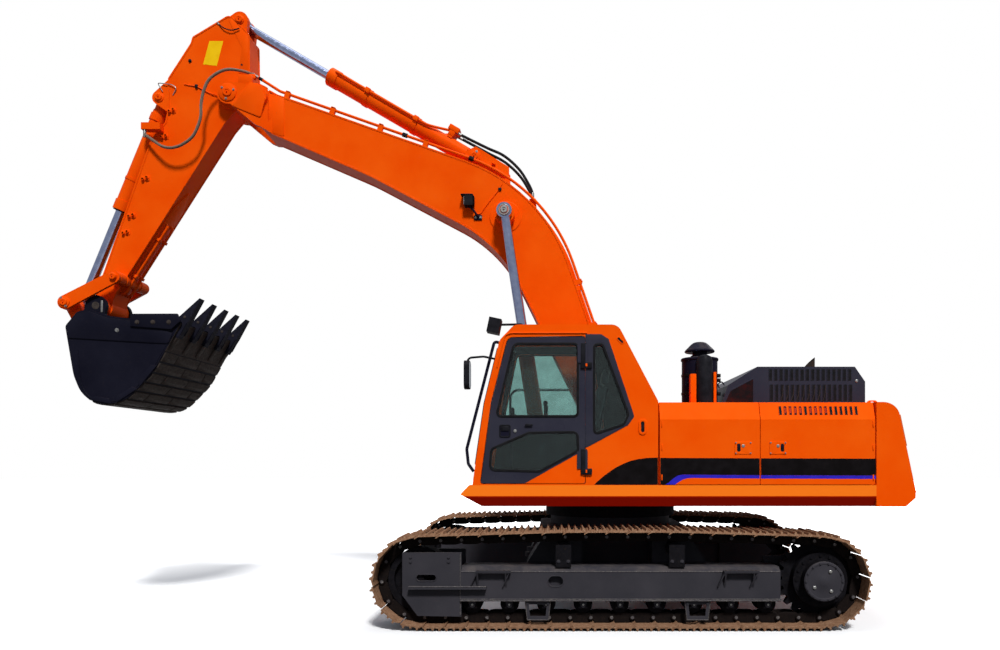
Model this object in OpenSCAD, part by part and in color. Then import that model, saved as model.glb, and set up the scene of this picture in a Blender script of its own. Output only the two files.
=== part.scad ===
// Crawler excavator, 34 tonne class, standing on its tracks with the boom half raised.
// Millimetres. The front is towards -X, the cab is on the -Y side and +Z is up.
// Every outline is drawn about the slew axis; the origin is below the middle of the whole machine.

/* [Undercarriage] */
// Distance between the idler and sprocket axles
wheelbase = 4140; // [3900:10:4300]
// Distance between the centre lines of the two tracks
gauge = 2680; // [2580:10:2800]
// Width of a track shoe
shoe_w = 600; // [500:50:700]
// Spacing of the track pins before the loop is closed
link_pitch = 216; // [203:1:228]
// Pitch radius of the idler and the sprocket
tumbler_r = 395; // [370:5:410]
// Number of lower rollers on each side
lower_rollers = 9; // [7:1:9]
// Radius of a lower roller's tread
roller_r = 96; // [85:1:98]
// Height that the carrier rollers lift the upper run
carrier_lift = 45; // [20:5:60]
// Distance of each carrier roller from the middle of the track
carrier_x = 583; // [450:5:700]
// Height of the track frame's box section
frame_h = 340; // [300:10:360]
// Width of the track frame's box section
frame_w = 430; // [380:10:460]

/* [Upper structure] */
// Overall width of the upper structure
upper_w = 2980; // [2900:10:3100]
// Height of the deck's underside above the ground
deck_z = 1260; // [1240:5:1300]
// Thickness of the deck frame with its side skirts
deck_t = 220; // [200:5:240]
// Height of the engine house's top
house_z = 2340; // [2250:10:2450]
// Swing radius of the counterweight
tail_r = 3400; // [3350:10:3600]
// Outer radius of the slew ring
slew_r = 780; // [700:10:850]
// Thickness of the house panels
panel_t = 40; // [30:1:50]
// Height of the engine hood above the house
hood_h = 400; // [300:10:450]

/* [Cab] */
// Width of the cab
cab_w = 945; // [900:5:950]
// Height of the cab's roof above the ground
cab_z = 3140; // [3000:10:3300]
// Thickness of the cab's walls and door
cab_t = 55; // [45:1:65]
// Thickness of the window glass
glass_t = 8; // [6:1:10]
// Gap round the doors
door_gap = 7; // [6:0.5:10]

/* [Boom and arm] */
// Width of the boom over its pin bosses
boom_w = 600; // [560:5:620]
// Width of the boom's box section
boom_box_w = 400; // [380:5:440]
// Width of the arm over its pin bosses
arm_w = 410; // [380:5:420]
// Width of the arm's box section
arm_box_w = 310; // [300:5:320]
// Thickness of the boom and arm ear plates
ear_t = 60; // [50:1:62]
// Diameter of the main pins
pin_d = 100; // [80:1:110]
// Outer diameter of the boom cylinders' barrels
boom_barrel_d = 180; // [160:1:190]
// Outer diameter of the arm cylinder's barrel
arm_barrel_d = 200; // [180:1:220]
// Outer diameter of the bucket cylinder's barrel
bucket_barrel_d = 180; // [160:1:200]
// Diameter of the cylinder rods
rod_d = 110; // [90:1:120]

/* [Bucket] */
// Outer width of the bucket
bucket_w = 1460; // [1200:10:1500]
// Thickness of the bucket's shell
shell_t = 30; // [20:1:40]
// Thickness of the bucket's side plates
side_t = 30; // [20:1:40]
// Number of teeth
teeth = 5; // [4:1:6]

/* [Hidden] */

// Running clearance of a pin in its bore, on the radius
pin_fit = 0.05;
// Gap between faces that slide past each other
side_gap = 5;
// Gap at which one piece is seated beside another
seat_gap = 0.3;

// Main pin centres in the side plane, from the slew axis and the ground: [x, z]
boom_foot = [0, 2050];
boom_cyl_base = [-780, 1450];
boom_cyl_rod = [-1265, 4660];
arm_pivot = [-4560, 6110];
arm_cyl_base = [-1645, 5410];
arm_cyl_rod = [-4480, 7060];
bucket_cyl_base = [-5450, 6120];
rocker_pivot = [-5897, 3914];
rocker_tip = [-6480, 3610];
bucket_pivot = [-6136, 3581];
link_pin = [-6228, 3110];
link_r = 85;

// Place of the slew axis behind the origin, which lies midway between the bucket link and the tail
slew_x = (link_r - rocker_tip[0] - tail_r) / 2;

orange = "OrangeRed";
dark = "DimGray";
black = "#1c1c24";
steel = "Silver";
rust = "#8a6250";
glass = [0.6, 0.8, 0.75, 0.4];

// ---------- helpers ----------

// Everything is drawn about the slew axis and moved to the origin here
module machine() {
    translate([slew_x, 0, 0]) children();
}

// Stands a drawing of [x, z] upright and gives it its width from y0 to y1
module along_y(y0, y1) {
    translate([0, y1, 0]) rotate([90, 0, 0]) linear_extrude(height = y1 - y0) children();
}

// Gives a drawing of [y, z] its length from x0 to x1
module along_x(x0, x1) {
    translate([x0, 0, 0]) rotate([90, 0, 90]) linear_extrude(height = x1 - x0) children();
}

// A box given by its two far corners
module box(a, b) {
    translate(a) cube(b - a);
}

// A round bar across the machine, centred on the pin p
module bar_y(p, d, y0, y1) {
    translate([p[0], y1, p[1]]) rotate([90, 0, 0]) cylinder(d = d, h = y1 - y0, $fn = 48);
}

// The same thing on both sides of the machine
module both_sides() {
    children();
    mirror([0, 1, 0]) children();
}

// Drawing of a plate with a round end about each of two pins
module strap(p, q, r, s) {
    d = q - p;
    a = atan2(d[1], d[0]);
    b = acos((r - s) / norm(d));
    translate(p) circle(r = r, $fn = 48);
    translate(q) circle(r = s, $fn = 48);
    polygon([
        p + r * [cos(a + b), sin(a + b)], q + s * [cos(a + b), sin(a + b)],
        q + s * [cos(a - b), sin(a - b)], p + r * [cos(a - b), sin(a - b)]
    ]);
}

function unit(v) = v / norm(v);

// How far a rounded corner's chords may fall inside its true arc
chord_error = 0.5;

// One corner of an outline, rounded to radius q[2]
function corner(p, q, s) =
    let (c = [q[0], q[1]], u = unit([p[0], p[1]] - c), v = unit([s[0], s[1]] - c))
    q[2] == 0 ? [c] :
    let (
        half = acos(max(-1, min(1, u * v))) / 2,
        centre = c + unit(u + v) * q[2] / sin(half),
        start = c + u * q[2] / tan(half) - centre,
        end = c + v * q[2] / tan(half) - centre,
        a0 = atan2(start[1], start[0]),
        turn = atan2(start[0] * end[1] - start[1] * end[0], start * end),
        n = max(3, ceil(abs(turn) / (2 * acos(1 - chord_error / q[2]))))
    )
    [for (i = [0:n]) centre + q[2] * [cos(a0 + turn * i / n), sin(a0 + turn * i / n)]];

// Outline from a list of corners [x, z, radius]
function rounded(list) =
    let (n = len(list))
    [for (i = [0:n - 1]) each corner(list[(i + n - 1) % n], list[i], list[(i + 1) % n])];

// The same outline with each side moved in by g, or out if g is negative; its corners go anticlockwise
function inset(list, g) =
    let (n = len(list))
    [for (i = [0:n - 1]) let (
        p = list[(i + n - 1) % n], c = list[i], s = list[(i + 1) % n],
        u = unit([c[0] - p[0], c[1] - p[1]]), v = unit([s[0] - c[0], s[1] - c[1]]),
        a = [-u[1], u[0]], b = [-v[1], v[0]], h = unit(a + b), d = g / (h * a)
    ) [c[0] + h[0] * d, c[1] + h[1] * d, c[2] == 0 ? 0 : max(1, c[2] - g)]];

function cross3(a, b) = [
    a[1] * b[2] - a[2] * b[1], a[2] * b[0] - a[0] * b[2], a[0] * b[1] - a[1] * b[0]
];

// Puts what is drawn about Z at point p, with Z along w
module facing(p, w) {
    k = abs(w[2]) < 0.9 ? [0, 0, 1] : [1, 0, 0];
    u = unit(cross3(k, w));
    v = cross3(w, u);
    multmatrix([
        [u[0], v[0], w[0], p[0]], [u[1], v[1], w[1], p[1]], [u[2], v[2], w[2], p[2]], [0, 0, 0, 1]
    ]) children();
}

// A round tube along the points [x, y, z, bend radius]
module tube(path, d) {
    n = len(path);
    at = [for (q = path) [q[0], q[1], q[2]]];
    cut = [for (i = [0:n - 1]) i == 0 || i == n - 1 ? 0 :
        path[i][3] / tan(acos(unit(at[i - 1] - at[i]) * unit(at[i + 1] - at[i])) / 2)];
    // The straight lengths are a hair thicker and reach into the bends like sleeves
    lap = [for (i = [0:n - 1]) i == 0 || i == n - 1 ? 0 : 1];
    for (i = [0:n - 2]) {
        w = unit(at[i + 1] - at[i]);
        run = norm(at[i + 1] - at[i]) - cut[i] - cut[i + 1] + lap[i] + lap[i + 1];
        facing(at[i] + w * (cut[i] - lap[i]), w) cylinder(d = d, h = run, $fn = 24);
    }
    for (i = [1:1:n - 2]) {
        u = unit(at[i - 1] - at[i]);
        v = unit(at[i + 1] - at[i]);
        half = acos(u * v) / 2;
        c = at[i] + unit(u + v) * path[i][3] / sin(half);
        ex = unit(at[i] + u * cut[i] - c);
        ez = unit(cross3(ex, at[i] + v * cut[i] - c));
        ey = cross3(ez, ex);
        multmatrix([
            [ex[0], ey[0], ez[0], c[0]], [ex[1], ey[1], ez[1], c[1]], [ex[2], ey[2], ez[2], c[2]],
            [0, 0, 0, 1]
        ]) rotate_extrude(angle = 180 - 2 * half, $fn = 64)
            translate([path[i][3], 0]) circle(d = d - 0.4, $fn = 24);
    }
}

// Points of a smooth curve through the points p, k of them in each stretch
function smooth(p, k) =
    let (n = len(p))
    [for (i = [0:n - 2]) let (
        a = p[max(0, i - 1)], b = p[i], c = p[i + 1], d = p[min(n - 1, i + 2)]
    ) for (j = [0:i == n - 2 ? k : k - 1]) let (t = j / k)
        0.5 * (2 * b + (c - a) * t + (2 * a - 5 * b + 4 * c - d) * t * t
            + (3 * b - a - 3 * c + d) * t * t * t)];

// A hose of diameter d along a curve that never runs straight across the machine
module hose(route, d) {
    sides = 8;
    p = smooth(route, 4);
    n = len(p);
    rings = [for (i = [0:n - 1]) let (
        w = unit(p[min(n - 1, i + 1)] - p[max(0, i - 1)]),
        u = unit(cross3([0, 1, 0], w)),
        v = cross3(w, u)
    ) for (j = [0:sides - 1]) p[i] + d / 2 * (cos(360 * j / sides) * u + sin(360 * j / sides) * v)];
    polyhedron(points = rings, faces = concat(
        [[for (j = [0:sides - 1]) sides - 1 - j], [for (j = [0:sides - 1]) (n - 1) * sides + j]],
        [for (i = [0:n - 2], j = [0:sides - 1]) let (k = (j + 1) % sides)
            each [[i * sides + j, (i + 1) * sides + k, (i + 1) * sides + j],
                [i * sides + j, i * sides + k, (i + 1) * sides + k]]]
    ));
}

// ---------- undercarriage ----------

// Height of the shoe plate and of the grousers over the pin line, and of the rails to each side of it
plate_h = 62;
plate_t = 13;
grouser_h = 108;
rail_h = 50;
band_h = 46;
axle_z = tumbler_r + grouser_h;
track_y = gauge / 2;
shoe_end = 4;
rail_end = 20;

// The pin line: lower run, idler, climb to the first carrier, level run, descent, sprocket
climb_dx = wheelbase / 2 - carrier_x;
climb_dz = tumbler_r + carrier_lift;
climb_d = norm([climb_dx, climb_dz]);
climb_a = atan2(climb_dz, climb_dx) - asin(tumbler_r / climb_d);
climb_len = sqrt(climb_d * climb_d - tumbler_r * tumbler_r);
wrap_len = tumbler_r * (180 - climb_a) * PI / 180;
leg = [wheelbase, wrap_len, climb_len, 2 * carrier_x, climb_len, wrap_len];
leg_end = [for (i = [0:5]) leg * [for (j = [0:5]) j <= i ? 1 : 0]];
shoes = round(leg_end[5] / link_pitch);

// Point of the pin line at distance s along it
function pin_at(s) =
    s < leg_end[0] ? [wheelbase / 2 - s, grouser_h] :
    s < leg_end[1] ? let (a = -90 - (s - leg_end[0]) / tumbler_r * 180 / PI)
        [-wheelbase / 2, axle_z] + tumbler_r * [cos(a), sin(a)] :
    s < leg_end[2] ? let (t = leg_end[2] - s)
        [-carrier_x, axle_z + climb_dz] - t * [cos(climb_a), sin(climb_a)] :
    s < leg_end[3] ? [-carrier_x + s - leg_end[2], axle_z + climb_dz] :
    s < leg_end[4] ? let (t = s - leg_end[3])
        [carrier_x, axle_z + climb_dz] + t * [cos(climb_a), -sin(climb_a)] :
    let (a = 90 - climb_a - (s - leg_end[4]) / tumbler_r * 180 / PI)
        [wheelbase / 2, axle_z] + tumbler_r * [cos(a), sin(a)];

pins = [for (i = [0:shoes - 1]) pin_at(leg_end[5] * i / shoes)];

// A point of shoe i: along it from its pin, and out from the pin line
function on_shoe(i, along, out) =
    let (a = pins[i], u = unit(pins[(i + 1) % shoes] - a)) a + along * u + out * [-u[1], u[0]];
function shoe_len(i) = norm(pins[(i + 1) % shoes] - pins[i]);

// Outline of one triple-grouser shoe: [part of its length, height over the pin line]
shoe_form = [
    [0, plate_h - 4], [0, plate_h + plate_t], [0.08, plate_h + plate_t],
    [0.12, grouser_h], [0.19, grouser_h], [0.23, plate_h + plate_t],
    [0.44, plate_h + plate_t], [0.47, grouser_h - 8], [0.53, grouser_h - 8], [0.56, plate_h + plate_t],
    [0.79, plate_h + plate_t], [0.83, grouser_h], [0.90, grouser_h], [0.94, plate_h + plate_t],
    [1, plate_h + plate_t], [1, plate_h - 4]
];

module track_loop() {
    outer = [for (i = [0:shoes - 1]) each [for (f = shoe_form)
        on_shoe(i, shoe_end + f[0] * (shoe_len(i) - 2 * shoe_end), f[1])]];
    inner = [for (i = [0:shoes - 1]) each [on_shoe(i, 0, band_h), on_shoe(i, shoe_len(i), band_h)]];
    difference() {
        along_y(-shoe_w / 2, shoe_w / 2) polygon(outer);
        along_y(-shoe_w / 2 - 1, shoe_w / 2 + 1) polygon(inner);
    }
    rail_y = [62, 112];
    for (side = [-1, 1])
        along_y(min(side * rail_y), max(side * rail_y)) difference() {
            polygon([for (i = [0:shoes - 1]) on_shoe(i, shoe_len(i) / 2, band_h + 6)]);
            polygon([for (i = [0:shoes - 1]) each [
                on_shoe(i, rail_end, -rail_h), on_shoe(i, shoe_len(i) - rail_end, -rail_h)]]);
        }
}

module track_left() color(rust) machine() translate([0, -track_y, 0]) track_loop();
module track_right() color(rust) machine() translate([0, track_y, 0]) track_loop();

idler_r = tumbler_r * cos(90 * link_pitch / (PI * tumbler_r)) - rail_h - 1;

module idlers() {
    color(dark) machine() both_sides() translate([-wheelbase / 2, -track_y, axle_z]) {
        rotate([90, 0, 0]) {
            difference() {
                cylinder(r = idler_r, h = 220, center = true, $fn = 96);
                for (s = [-1, 1]) translate([0, 0, s * 90]) difference() {
                    cylinder(r = idler_r - 60, h = 100, center = true, $fn = 96);
                    cylinder(r = 100, h = 120, center = true, $fn = 48);
                }
            }
            cylinder(d = 110, h = frame_w - 60, center = true, $fn = 48);
        }
    }
}

sprocket_teeth = 23;

module sprockets() {
    root_r = tumbler_r - 34;
    tip_r = tumbler_r + 22;
    step = 360 / sprocket_teeth;
    color(dark) machine() both_sides() translate([wheelbase / 2, -track_y, axle_z]) {
        along_y(-36, 36) polygon([for (i = [0:sprocket_teeth - 1]) each [
            for (k = [[-0.34, root_r], [-0.14, tip_r], [0.14, tip_r], [0.34, root_r]])
            k[1] * [cos((i + k[0]) * step), sin((i + k[0]) * step)]]]);
        bar_y([0, 0], 560, -150, -36);
        bar_y([0, 0], 400, -262, -150);
        bar_y([0, 0], 620, 36, 190);
        bar_y([0, 0], 420, 190, 226 - seat_gap);
    }
}

frame_z0 = 300;
frame_x0 = -1640;
frame_x1 = 1640;
frame_wall = 20;
// Width and thickness of the strip along the frame's lower edge
flange = [28, 20];
// Length and height of the idler block's slot, and of the side frame's oval hole
slot_size = [197, 62];
oval_size = [150, 105];
step_x = [-1300, 1230];
guard_x = [-846, 790];
roller_z = grouser_h + rail_h + roller_r + seat_gap;
roller_roof = roller_z + roller_r + 5;
roller_span = 3040;

module track_rollers() {
    color(dark) machine() both_sides() for (i = [0:lower_rollers - 1])
        translate([-roller_span / 2 + i * roller_span / (lower_rollers - 1), -track_y, roller_z]) {
            rotate([90, 0, 0]) {
                cylinder(r = roller_r, h = 250, center = true, $fn = 64);
                cylinder(d = 84, h = 330, center = true, $fn = 48);
            }
            for (s = [-1, 1])
                box([-45, s * 160 - 20, -40], [45, s * 160 + 20, roller_roof - roller_z - seat_gap]);
        }
}

module carrier_rollers() {
    r = 80;
    z = axle_z + climb_dz - rail_h - r - 4;
    color(dark) machine() both_sides() for (x = [-carrier_x, carrier_x])
        translate([x, -track_y, z]) {
            rotate([90, 0, 0]) cylinder(r = r, h = 240, center = true, $fn = 64);
            rotate([90, 0, 0]) translate([0, 0, 100]) cylinder(d = 80, h = 60, $fn = 48);
            box([-80, -200, frame_z0 + frame_h - z + seat_gap], [80, -150, 60]);
        }
}

// A hole with round ends, size[0] long and size[1] high
module oblong(size) {
    for (s = [-1, 1]) translate([s * (size[0] - size[1]) / 2, 0]) circle(d = size[1], $fn = 48);
    translate([(size[1] - size[0]) / 2, -size[1] / 2]) square([size[0] - size[1], size[1]]);
}

module track_frames() {
    z1 = frame_z0 + frame_h;
    y0 = -frame_w / 2;
    y1 = frame_w / 2;
    color(dark) machine() both_sides() translate([0, -track_y, 0]) {
        // Box section, open below for the rollers
        difference() {
          along_x(frame_x0, frame_x1) polygon([
            [y0, frame_z0 + flange[1]], [y0 - flange[0], frame_z0 + flange[1]], [y0 - flange[0], frame_z0],
            [y0 + frame_wall, frame_z0], [y0 + frame_wall, roller_roof],
            [y1 - frame_wall, roller_roof], [y1 - frame_wall, frame_z0], [y1, frame_z0],
            [y1, z1 - 45], [y1 - 60, z1], [y0 + 60, z1], [y0, z1 - 45]
          ]);
          along_y(y0 - 1, y0 + 60) translate([-663, frame_z0 + 0.58 * frame_h]) oblong(oval_size);
        }
        // Cheeks that carry the idler
        for (s = [-1, 1]) difference() {
            along_y(s * 190 - 22, s * 190 + 22) polygon([
                [frame_x0 + 10, 135], [-wheelbase / 2 - 10, 143], [-wheelbase / 2 - 165, 355],
                [-wheelbase / 2 - 165, 790], [frame_x0 + 10, 790]
            ]);
            translate([-wheelbase / 2, 0, axle_z]) rotate([90, 0, 0])
                cylinder(d = 112, h = 380, center = true, $fn = 48);
            along_y(-220, -160) translate([-wheelbase / 2 + 80, axle_z + 30]) oblong(slot_size);
        }
        // Shelf over the idler block, and the steps with their gussets
        box([-wheelbase / 2 - 95, -285, 425], [-1370, -210, 450]);
        for (x = step_x) {
            box([x - 180, -285, 590], [x + 180, -214, 612]);
            for (gx = [x - 170, x + 120])
                along_x(gx, gx + 16) polygon([[-214, 430], [-214, 595], [-285, 595]]);
        }
        // Track guards between the rollers
        for (x = guard_x) along_y(-213, -195) difference() {
            polygon([[x - 132, frame_z0 + 2], [x - 108, 98], [x + 108, 98], [x + 132, frame_z0 + 2]]);
            polygon([[x - 92, frame_z0 - 40], [x - 80, 140], [x + 80, 140], [x + 92, frame_z0 - 40]]);
        }
        // Mount of the final drive
        along_y(226, 256) polygon([
            [frame_x1 - 60, frame_z0], [wheelbase / 2, axle_z - 230], [wheelbase / 2 + 230, axle_z],
            [wheelbase / 2, axle_z + 230], [frame_x1 - 60, z1 + 60]
        ]);
        box([frame_x1 - 60, y1 - 30, frame_z0 + 20], [frame_x1, 256, z1 + 40]);
    }
}

lower_top = 1090;
// Place in x and y, height, thickness and bore of the towing eyes
tow_eye = [950, 275];
tow_z = 600;
tow_t = 50;
tow_lug_r = 75;
tow_r = 32;

module lower_frame() {
    color(dark) machine() {
        difference() {
            union() {
                box([-850, -700, 560], [850, 700, 980]);
                for (sx = [-1, 1]) for (sy = [-1, 1]) along_y(
                    min(sy * 400, sy * (track_y - frame_w / 2 - seat_gap)),
                    max(sy * 400, sy * (track_y - frame_w / 2 - seat_gap)))
                    polygon([
                        [sx * 380, 500], [sx * 980, 470], [sx * 980, 620], [sx * 800, 900], [sx * 380, 940]
                    ]);
                translate([0, 0, 900]) cylinder(r = slew_r - 60, h = lower_top - 900, $fn = 96);
                // Towing and lashing eyes, lying flat
                for (sx = [-1, 1]) for (sy = [-1, 1]) {
                    translate([sx * tow_eye[0], sy * tow_eye[1], tow_z])
                        cylinder(r = tow_lug_r, h = tow_t, $fn = 48);
                    translate([min(sx * 840, sx * tow_eye[0]), sy * tow_eye[1] - tow_lug_r, tow_z])
                        cube([tow_eye[0] - 840, 2 * tow_lug_r, tow_t]);
                }
            }
            translate([0, 0, 400]) cylinder(r = 320, h = 900, $fn = 64);
            for (sx = [-1, 1]) for (sy = [-1, 1]) translate([sx * tow_eye[0], sy * tow_eye[1], tow_z - 10])
                cylinder(r = tow_r, h = tow_t + 20, $fn = 48);
        }
    }
}

// ---------- upper structure ----------

half_w = upper_w / 2;
deck_top = deck_z + deck_t;
split_x = [410, 1450, 2650];
cab_y0 = -half_w;
cab_y1 = -half_w + cab_w;
house_x1 = split_x[2];
beam_z = 1500;

module slew_ring() {
    color(dark) machine() difference() {
        translate([0, 0, lower_top + 0.5])
            cylinder(r = slew_r, h = deck_z - lower_top - 0.5 - seat_gap, $fn = 96);
        translate([0, 0, 1000]) cylinder(r = 330, h = 400, $fn = 64);
    }
}

bracket_y = [boom_w / 2 + side_gap, boom_w / 2 + side_gap + 50];
eye_w = 110;
cyl_y = bracket_y[1] + side_gap + eye_w / 2;
outer_bracket_y = [cyl_y + eye_w / 2 + side_gap, cyl_y + eye_w / 2 + side_gap + 40];
// Radius that a bracket may have about a cylinder's base pin, and where the tube beyond it starts
lug_r = 115;
tube_start = 130;
skirt_w = 160;
skirt_t = 20;
deck_plate_t = 40;
// Height at which the skirt's face breaks, and how far its lower band leans in
skirt_break = deck_z + 95;
skirt_lean = 55;

// Inner face of the skirt's lower band at height z
function skirt_in(z) = -half_w + skirt_t + (skirt_break - z) * skirt_lean / (skirt_break - deck_z);
platform_x = [-1400, split_x[0]];
platform_y = outer_bracket_y[1] + 30;
centre_x0 = -860;

module deck_frame() {
    front = boom_cyl_base[0];
    low = deck_z + 20;
    color(orange) machine() difference() {
        union() {
            box([centre_x0, -platform_y, deck_z], [house_x1, platform_y, deck_z + deck_plate_t]);
            both_sides() {
                along_x(platform_x[0], house_x1) polygon([
                    [skirt_in(deck_z) + seat_gap, deck_z], [-platform_y, deck_z],
                    [-platform_y, deck_z + deck_plate_t],
                    [skirt_in(deck_z + deck_plate_t) + seat_gap, deck_z + deck_plate_t]
                ]);
                // Platform below the cab, and below the tanks on the other side
                box([platform_x[0], -half_w + skirt_w + seat_gap, deck_z + deck_plate_t],
                    [platform_x[1], -platform_y, deck_top - seat_gap]);
                // Boom bracket with the main beam behind it
                along_y(-bracket_y[1], -bracket_y[0]) {
                    translate(boom_cyl_base) circle(r = lug_r, $fn = 64);
                    polygon(rounded([
                        [centre_x0, low, 0], [front - 100, boom_cyl_base[1] - 40, 0], [front + 100, 1500, 0],
                        [-600, 1600, 60], [-210, 2190, 130], [190, 2190, 130], [700, beam_z, 100],
                        [2600, beam_z, 0], [2600, low, 0]
                    ]));
                }
                // Outer bracket of the cylinder
                along_y(-outer_bracket_y[1], -outer_bracket_y[0]) {
                    translate(boom_cyl_base) circle(r = lug_r, $fn = 64);
                    polygon([[centre_x0, low], [front - 100, boom_cyl_base[1] - 40], [front + 100, 1500],
                        [front + 260, low]]);
                }
                bar_y(boom_cyl_base, pin_d, -outer_bracket_y[1] - 20, -bracket_y[0]);
            }
            bar_y(boom_foot, pin_d, -bracket_y[1] - 40, bracket_y[1] + 40);
        }
        translate([0, 0, deck_z - 10]) cylinder(r = 330, h = 100, $fn = 64);
    }
}

module side_skirts() {
    color(orange) machine() {
        both_sides() difference() {
            intersection() {
                along_y(-half_w, -half_w + skirt_w) polygon([
                    [-1650, deck_z + 125], [-1560, deck_top], [house_x1, deck_top],
                    [house_x1, deck_z], [-1430, deck_z]
                ]);
                along_x(-1700, house_x1 + 20) polygon([
                    [-half_w, deck_top], [-half_w, skirt_break], [-half_w + skirt_lean, deck_z],
                    [-half_w + skirt_w, deck_z], [-half_w + skirt_w, deck_top]
                ]);
            }
            intersection() {
                along_y(-half_w + skirt_t, -half_w + skirt_w + 10) polygon([
                    [-1620, deck_z + 125], [-1545, deck_top - skirt_t], [house_x1 + 10, deck_top - skirt_t],
                    [house_x1 + 10, deck_z - 10], [-1415, deck_z - 10]
                ]);
                along_x(-1700, house_x1 + 20) polygon([
                    [-half_w + skirt_t, deck_top], [-half_w + skirt_t, skirt_break],
                    [skirt_in(deck_z - 10), deck_z - 10],
                    [-half_w + skirt_w + 20, deck_z - 10], [-half_w + skirt_w + 20, deck_top]
                ]);
            }
        }
        for (q = door_pins) translate([q[0], q[1] * (half_w - door_inset), deck_top - 10])
            cylinder(d = door_pin_d, h = 80, $fn = 32);
    }
}

// Outlines in [x, z, corner radius], anticlockwise
cab_x1 = split_x[0] - 14;
// Corners of the cab's front: foot, middle and brow
cab_front = [[-1524, deck_top], [-1400, 2330], [-1243, cab_z - 160]];
cab_side = [
    [cab_front[0][0], cab_front[0][1], 0], [cab_x1, deck_top, 0], [cab_x1, 2350, 40], [-20, cab_z, 110],
    [-1090, cab_z, 90], [cab_front[2][0], cab_front[2][1], 120], [cab_front[1][0], cab_front[1][1], 0]
];
door_opening = [
    [-1447, deck_top + 12, 30], [-352, deck_top + 12, 20], [-352, cab_z - 115, 40],
    [-1160, cab_z - 130, 70], [-1334, 2330, 0]
];
door_window = [[-1272, 2195, 40], [-437, 2195, 40], [-437, 2938, 40], [-1093, 2938, 60]];
door_low_window = [
    [-1340, 1640, 50], [-830, 1627, 40], [-432, 1840, 40], [-440, 2025, 50],
    [-940, 2018, 60], [-1325, 1850, 40]
];
quarter_window = [[-262, 2010, 30], [40, 2110, 60], [86, 2215, 40], [-180, 2930, 30], [-262, 2930, 30]];
far_window = [[-1290, 2060, 40], [-100, 2060, 60], [-240, 2950, 60], [-1110, 2950, 60]];
windscreen_z = [1700, 2900];
rear_window_z = [2420, 2960];
hatch_x = [-980, -420];

// Where the line from p to q stands at height z
function lerp(p, q, z) = p[0] + (z - p[1]) * (q[0] - p[0]) / (q[1] - p[1]);

// Place of the cab's front and of its rear slope at height z
function front_x(z) = z < cab_front[1][1] ?
    lerp(cab_front[0], cab_front[1], z) : lerp(cab_front[1], cab_front[2], z);
function rear_x(z) = cab_x1 - (z - 2350) * (cab_x1 + 20) / (cab_z - 2350);

module cab_frame() {
    color(orange) machine() cab_hinges();
    color(orange) machine() difference() {
        along_y(cab_y0, cab_y1) polygon(rounded(cab_side));
        along_y(cab_y0 + cab_t, cab_y1 - cab_t) polygon(rounded(inset(cab_side, cab_t)));
        along_y(cab_y0 - 1, cab_y0 + cab_t + 1) polygon(rounded(door_opening));
        along_y(cab_y0 - 1, cab_y0 + cab_t + 1) polygon(rounded(quarter_window));
        along_y(cab_y1 - cab_t - 1, cab_y1 + 1) polygon(rounded(far_window));
        // Windscreen, rear window and roof hatch
        box([-1700, cab_y0 + 90, windscreen_z[0]], [-1180, cab_y1 - 90, windscreen_z[1]]);
        box([0, cab_y0 + 110, rear_window_z[0]], [600, cab_y1 - 110, rear_window_z[1]]);
        box([hatch_x[0], cab_y0 + 180, cab_z - 200], [hatch_x[1], cab_y1 - 180, cab_z + 10]);
    }
}

module cab_glass() {
    g = seat_gap;
    f = [windscreen_z[0] + g, windscreen_z[1] - g];
    r = [rear_window_z[0] + g, rear_window_z[1] - g];
    color(glass) machine() {
        along_y(cab_y0 + 18, cab_y0 + 18 + glass_t) polygon(rounded(inset(quarter_window, g)));
        along_y(cab_y1 - 18 - glass_t, cab_y1 - 18) polygon(rounded(inset(far_window, g)));
        m = cab_front[1];
        along_y(cab_y0 + 90 + g, cab_y1 - 90 - g) polygon([
            [front_x(f[0]) + 20, f[0]], [front_x(f[0]) + 20 + glass_t, f[0]], [m[0] + 20 + glass_t, m[1]],
            [front_x(f[1]) + 20 + glass_t, f[1]], [front_x(f[1]) + 20, f[1]], [m[0] + 20, m[1]]
        ]);
        along_y(cab_y0 + 110 + g, cab_y1 - 110 - g) polygon([
            [rear_x(r[0]) - 28, r[0]], [rear_x(r[0]) - 28 + glass_t, r[0]],
            [rear_x(r[1]) - 28 + glass_t, r[1]], [rear_x(r[1]) - 28, r[1]]
        ]);
        box([hatch_x[0] + g, cab_y0 + 180 + g, cab_z - 30],
            [hatch_x[1] - g, cab_y1 - 180 - g, cab_z - 30 + glass_t]);
    }
}

hinge_d = 28;
hinge_pin_d = 14;
hinge_h = 200;
door_hinge = [-347, cab_y0 - 16];
door_hinge_z = [1740, 2835];
door_t = cab_t - 10;

// Fixed half of each cab door hinge: a knuckle below the door's, with the pin
module cab_hinges() {
    for (z = door_hinge_z) {
        translate([door_hinge[0], door_hinge[1], z - hinge_h / 2 - 30 - seat_gap]) {
            cylinder(d = hinge_d, h = 30, $fn = 32);
            cylinder(d = hinge_pin_d, h = 30 + seat_gap + hinge_h, $fn = 32);
            box([0, -6, 0], [45, 18, 30]);
        }
    }
}

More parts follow.
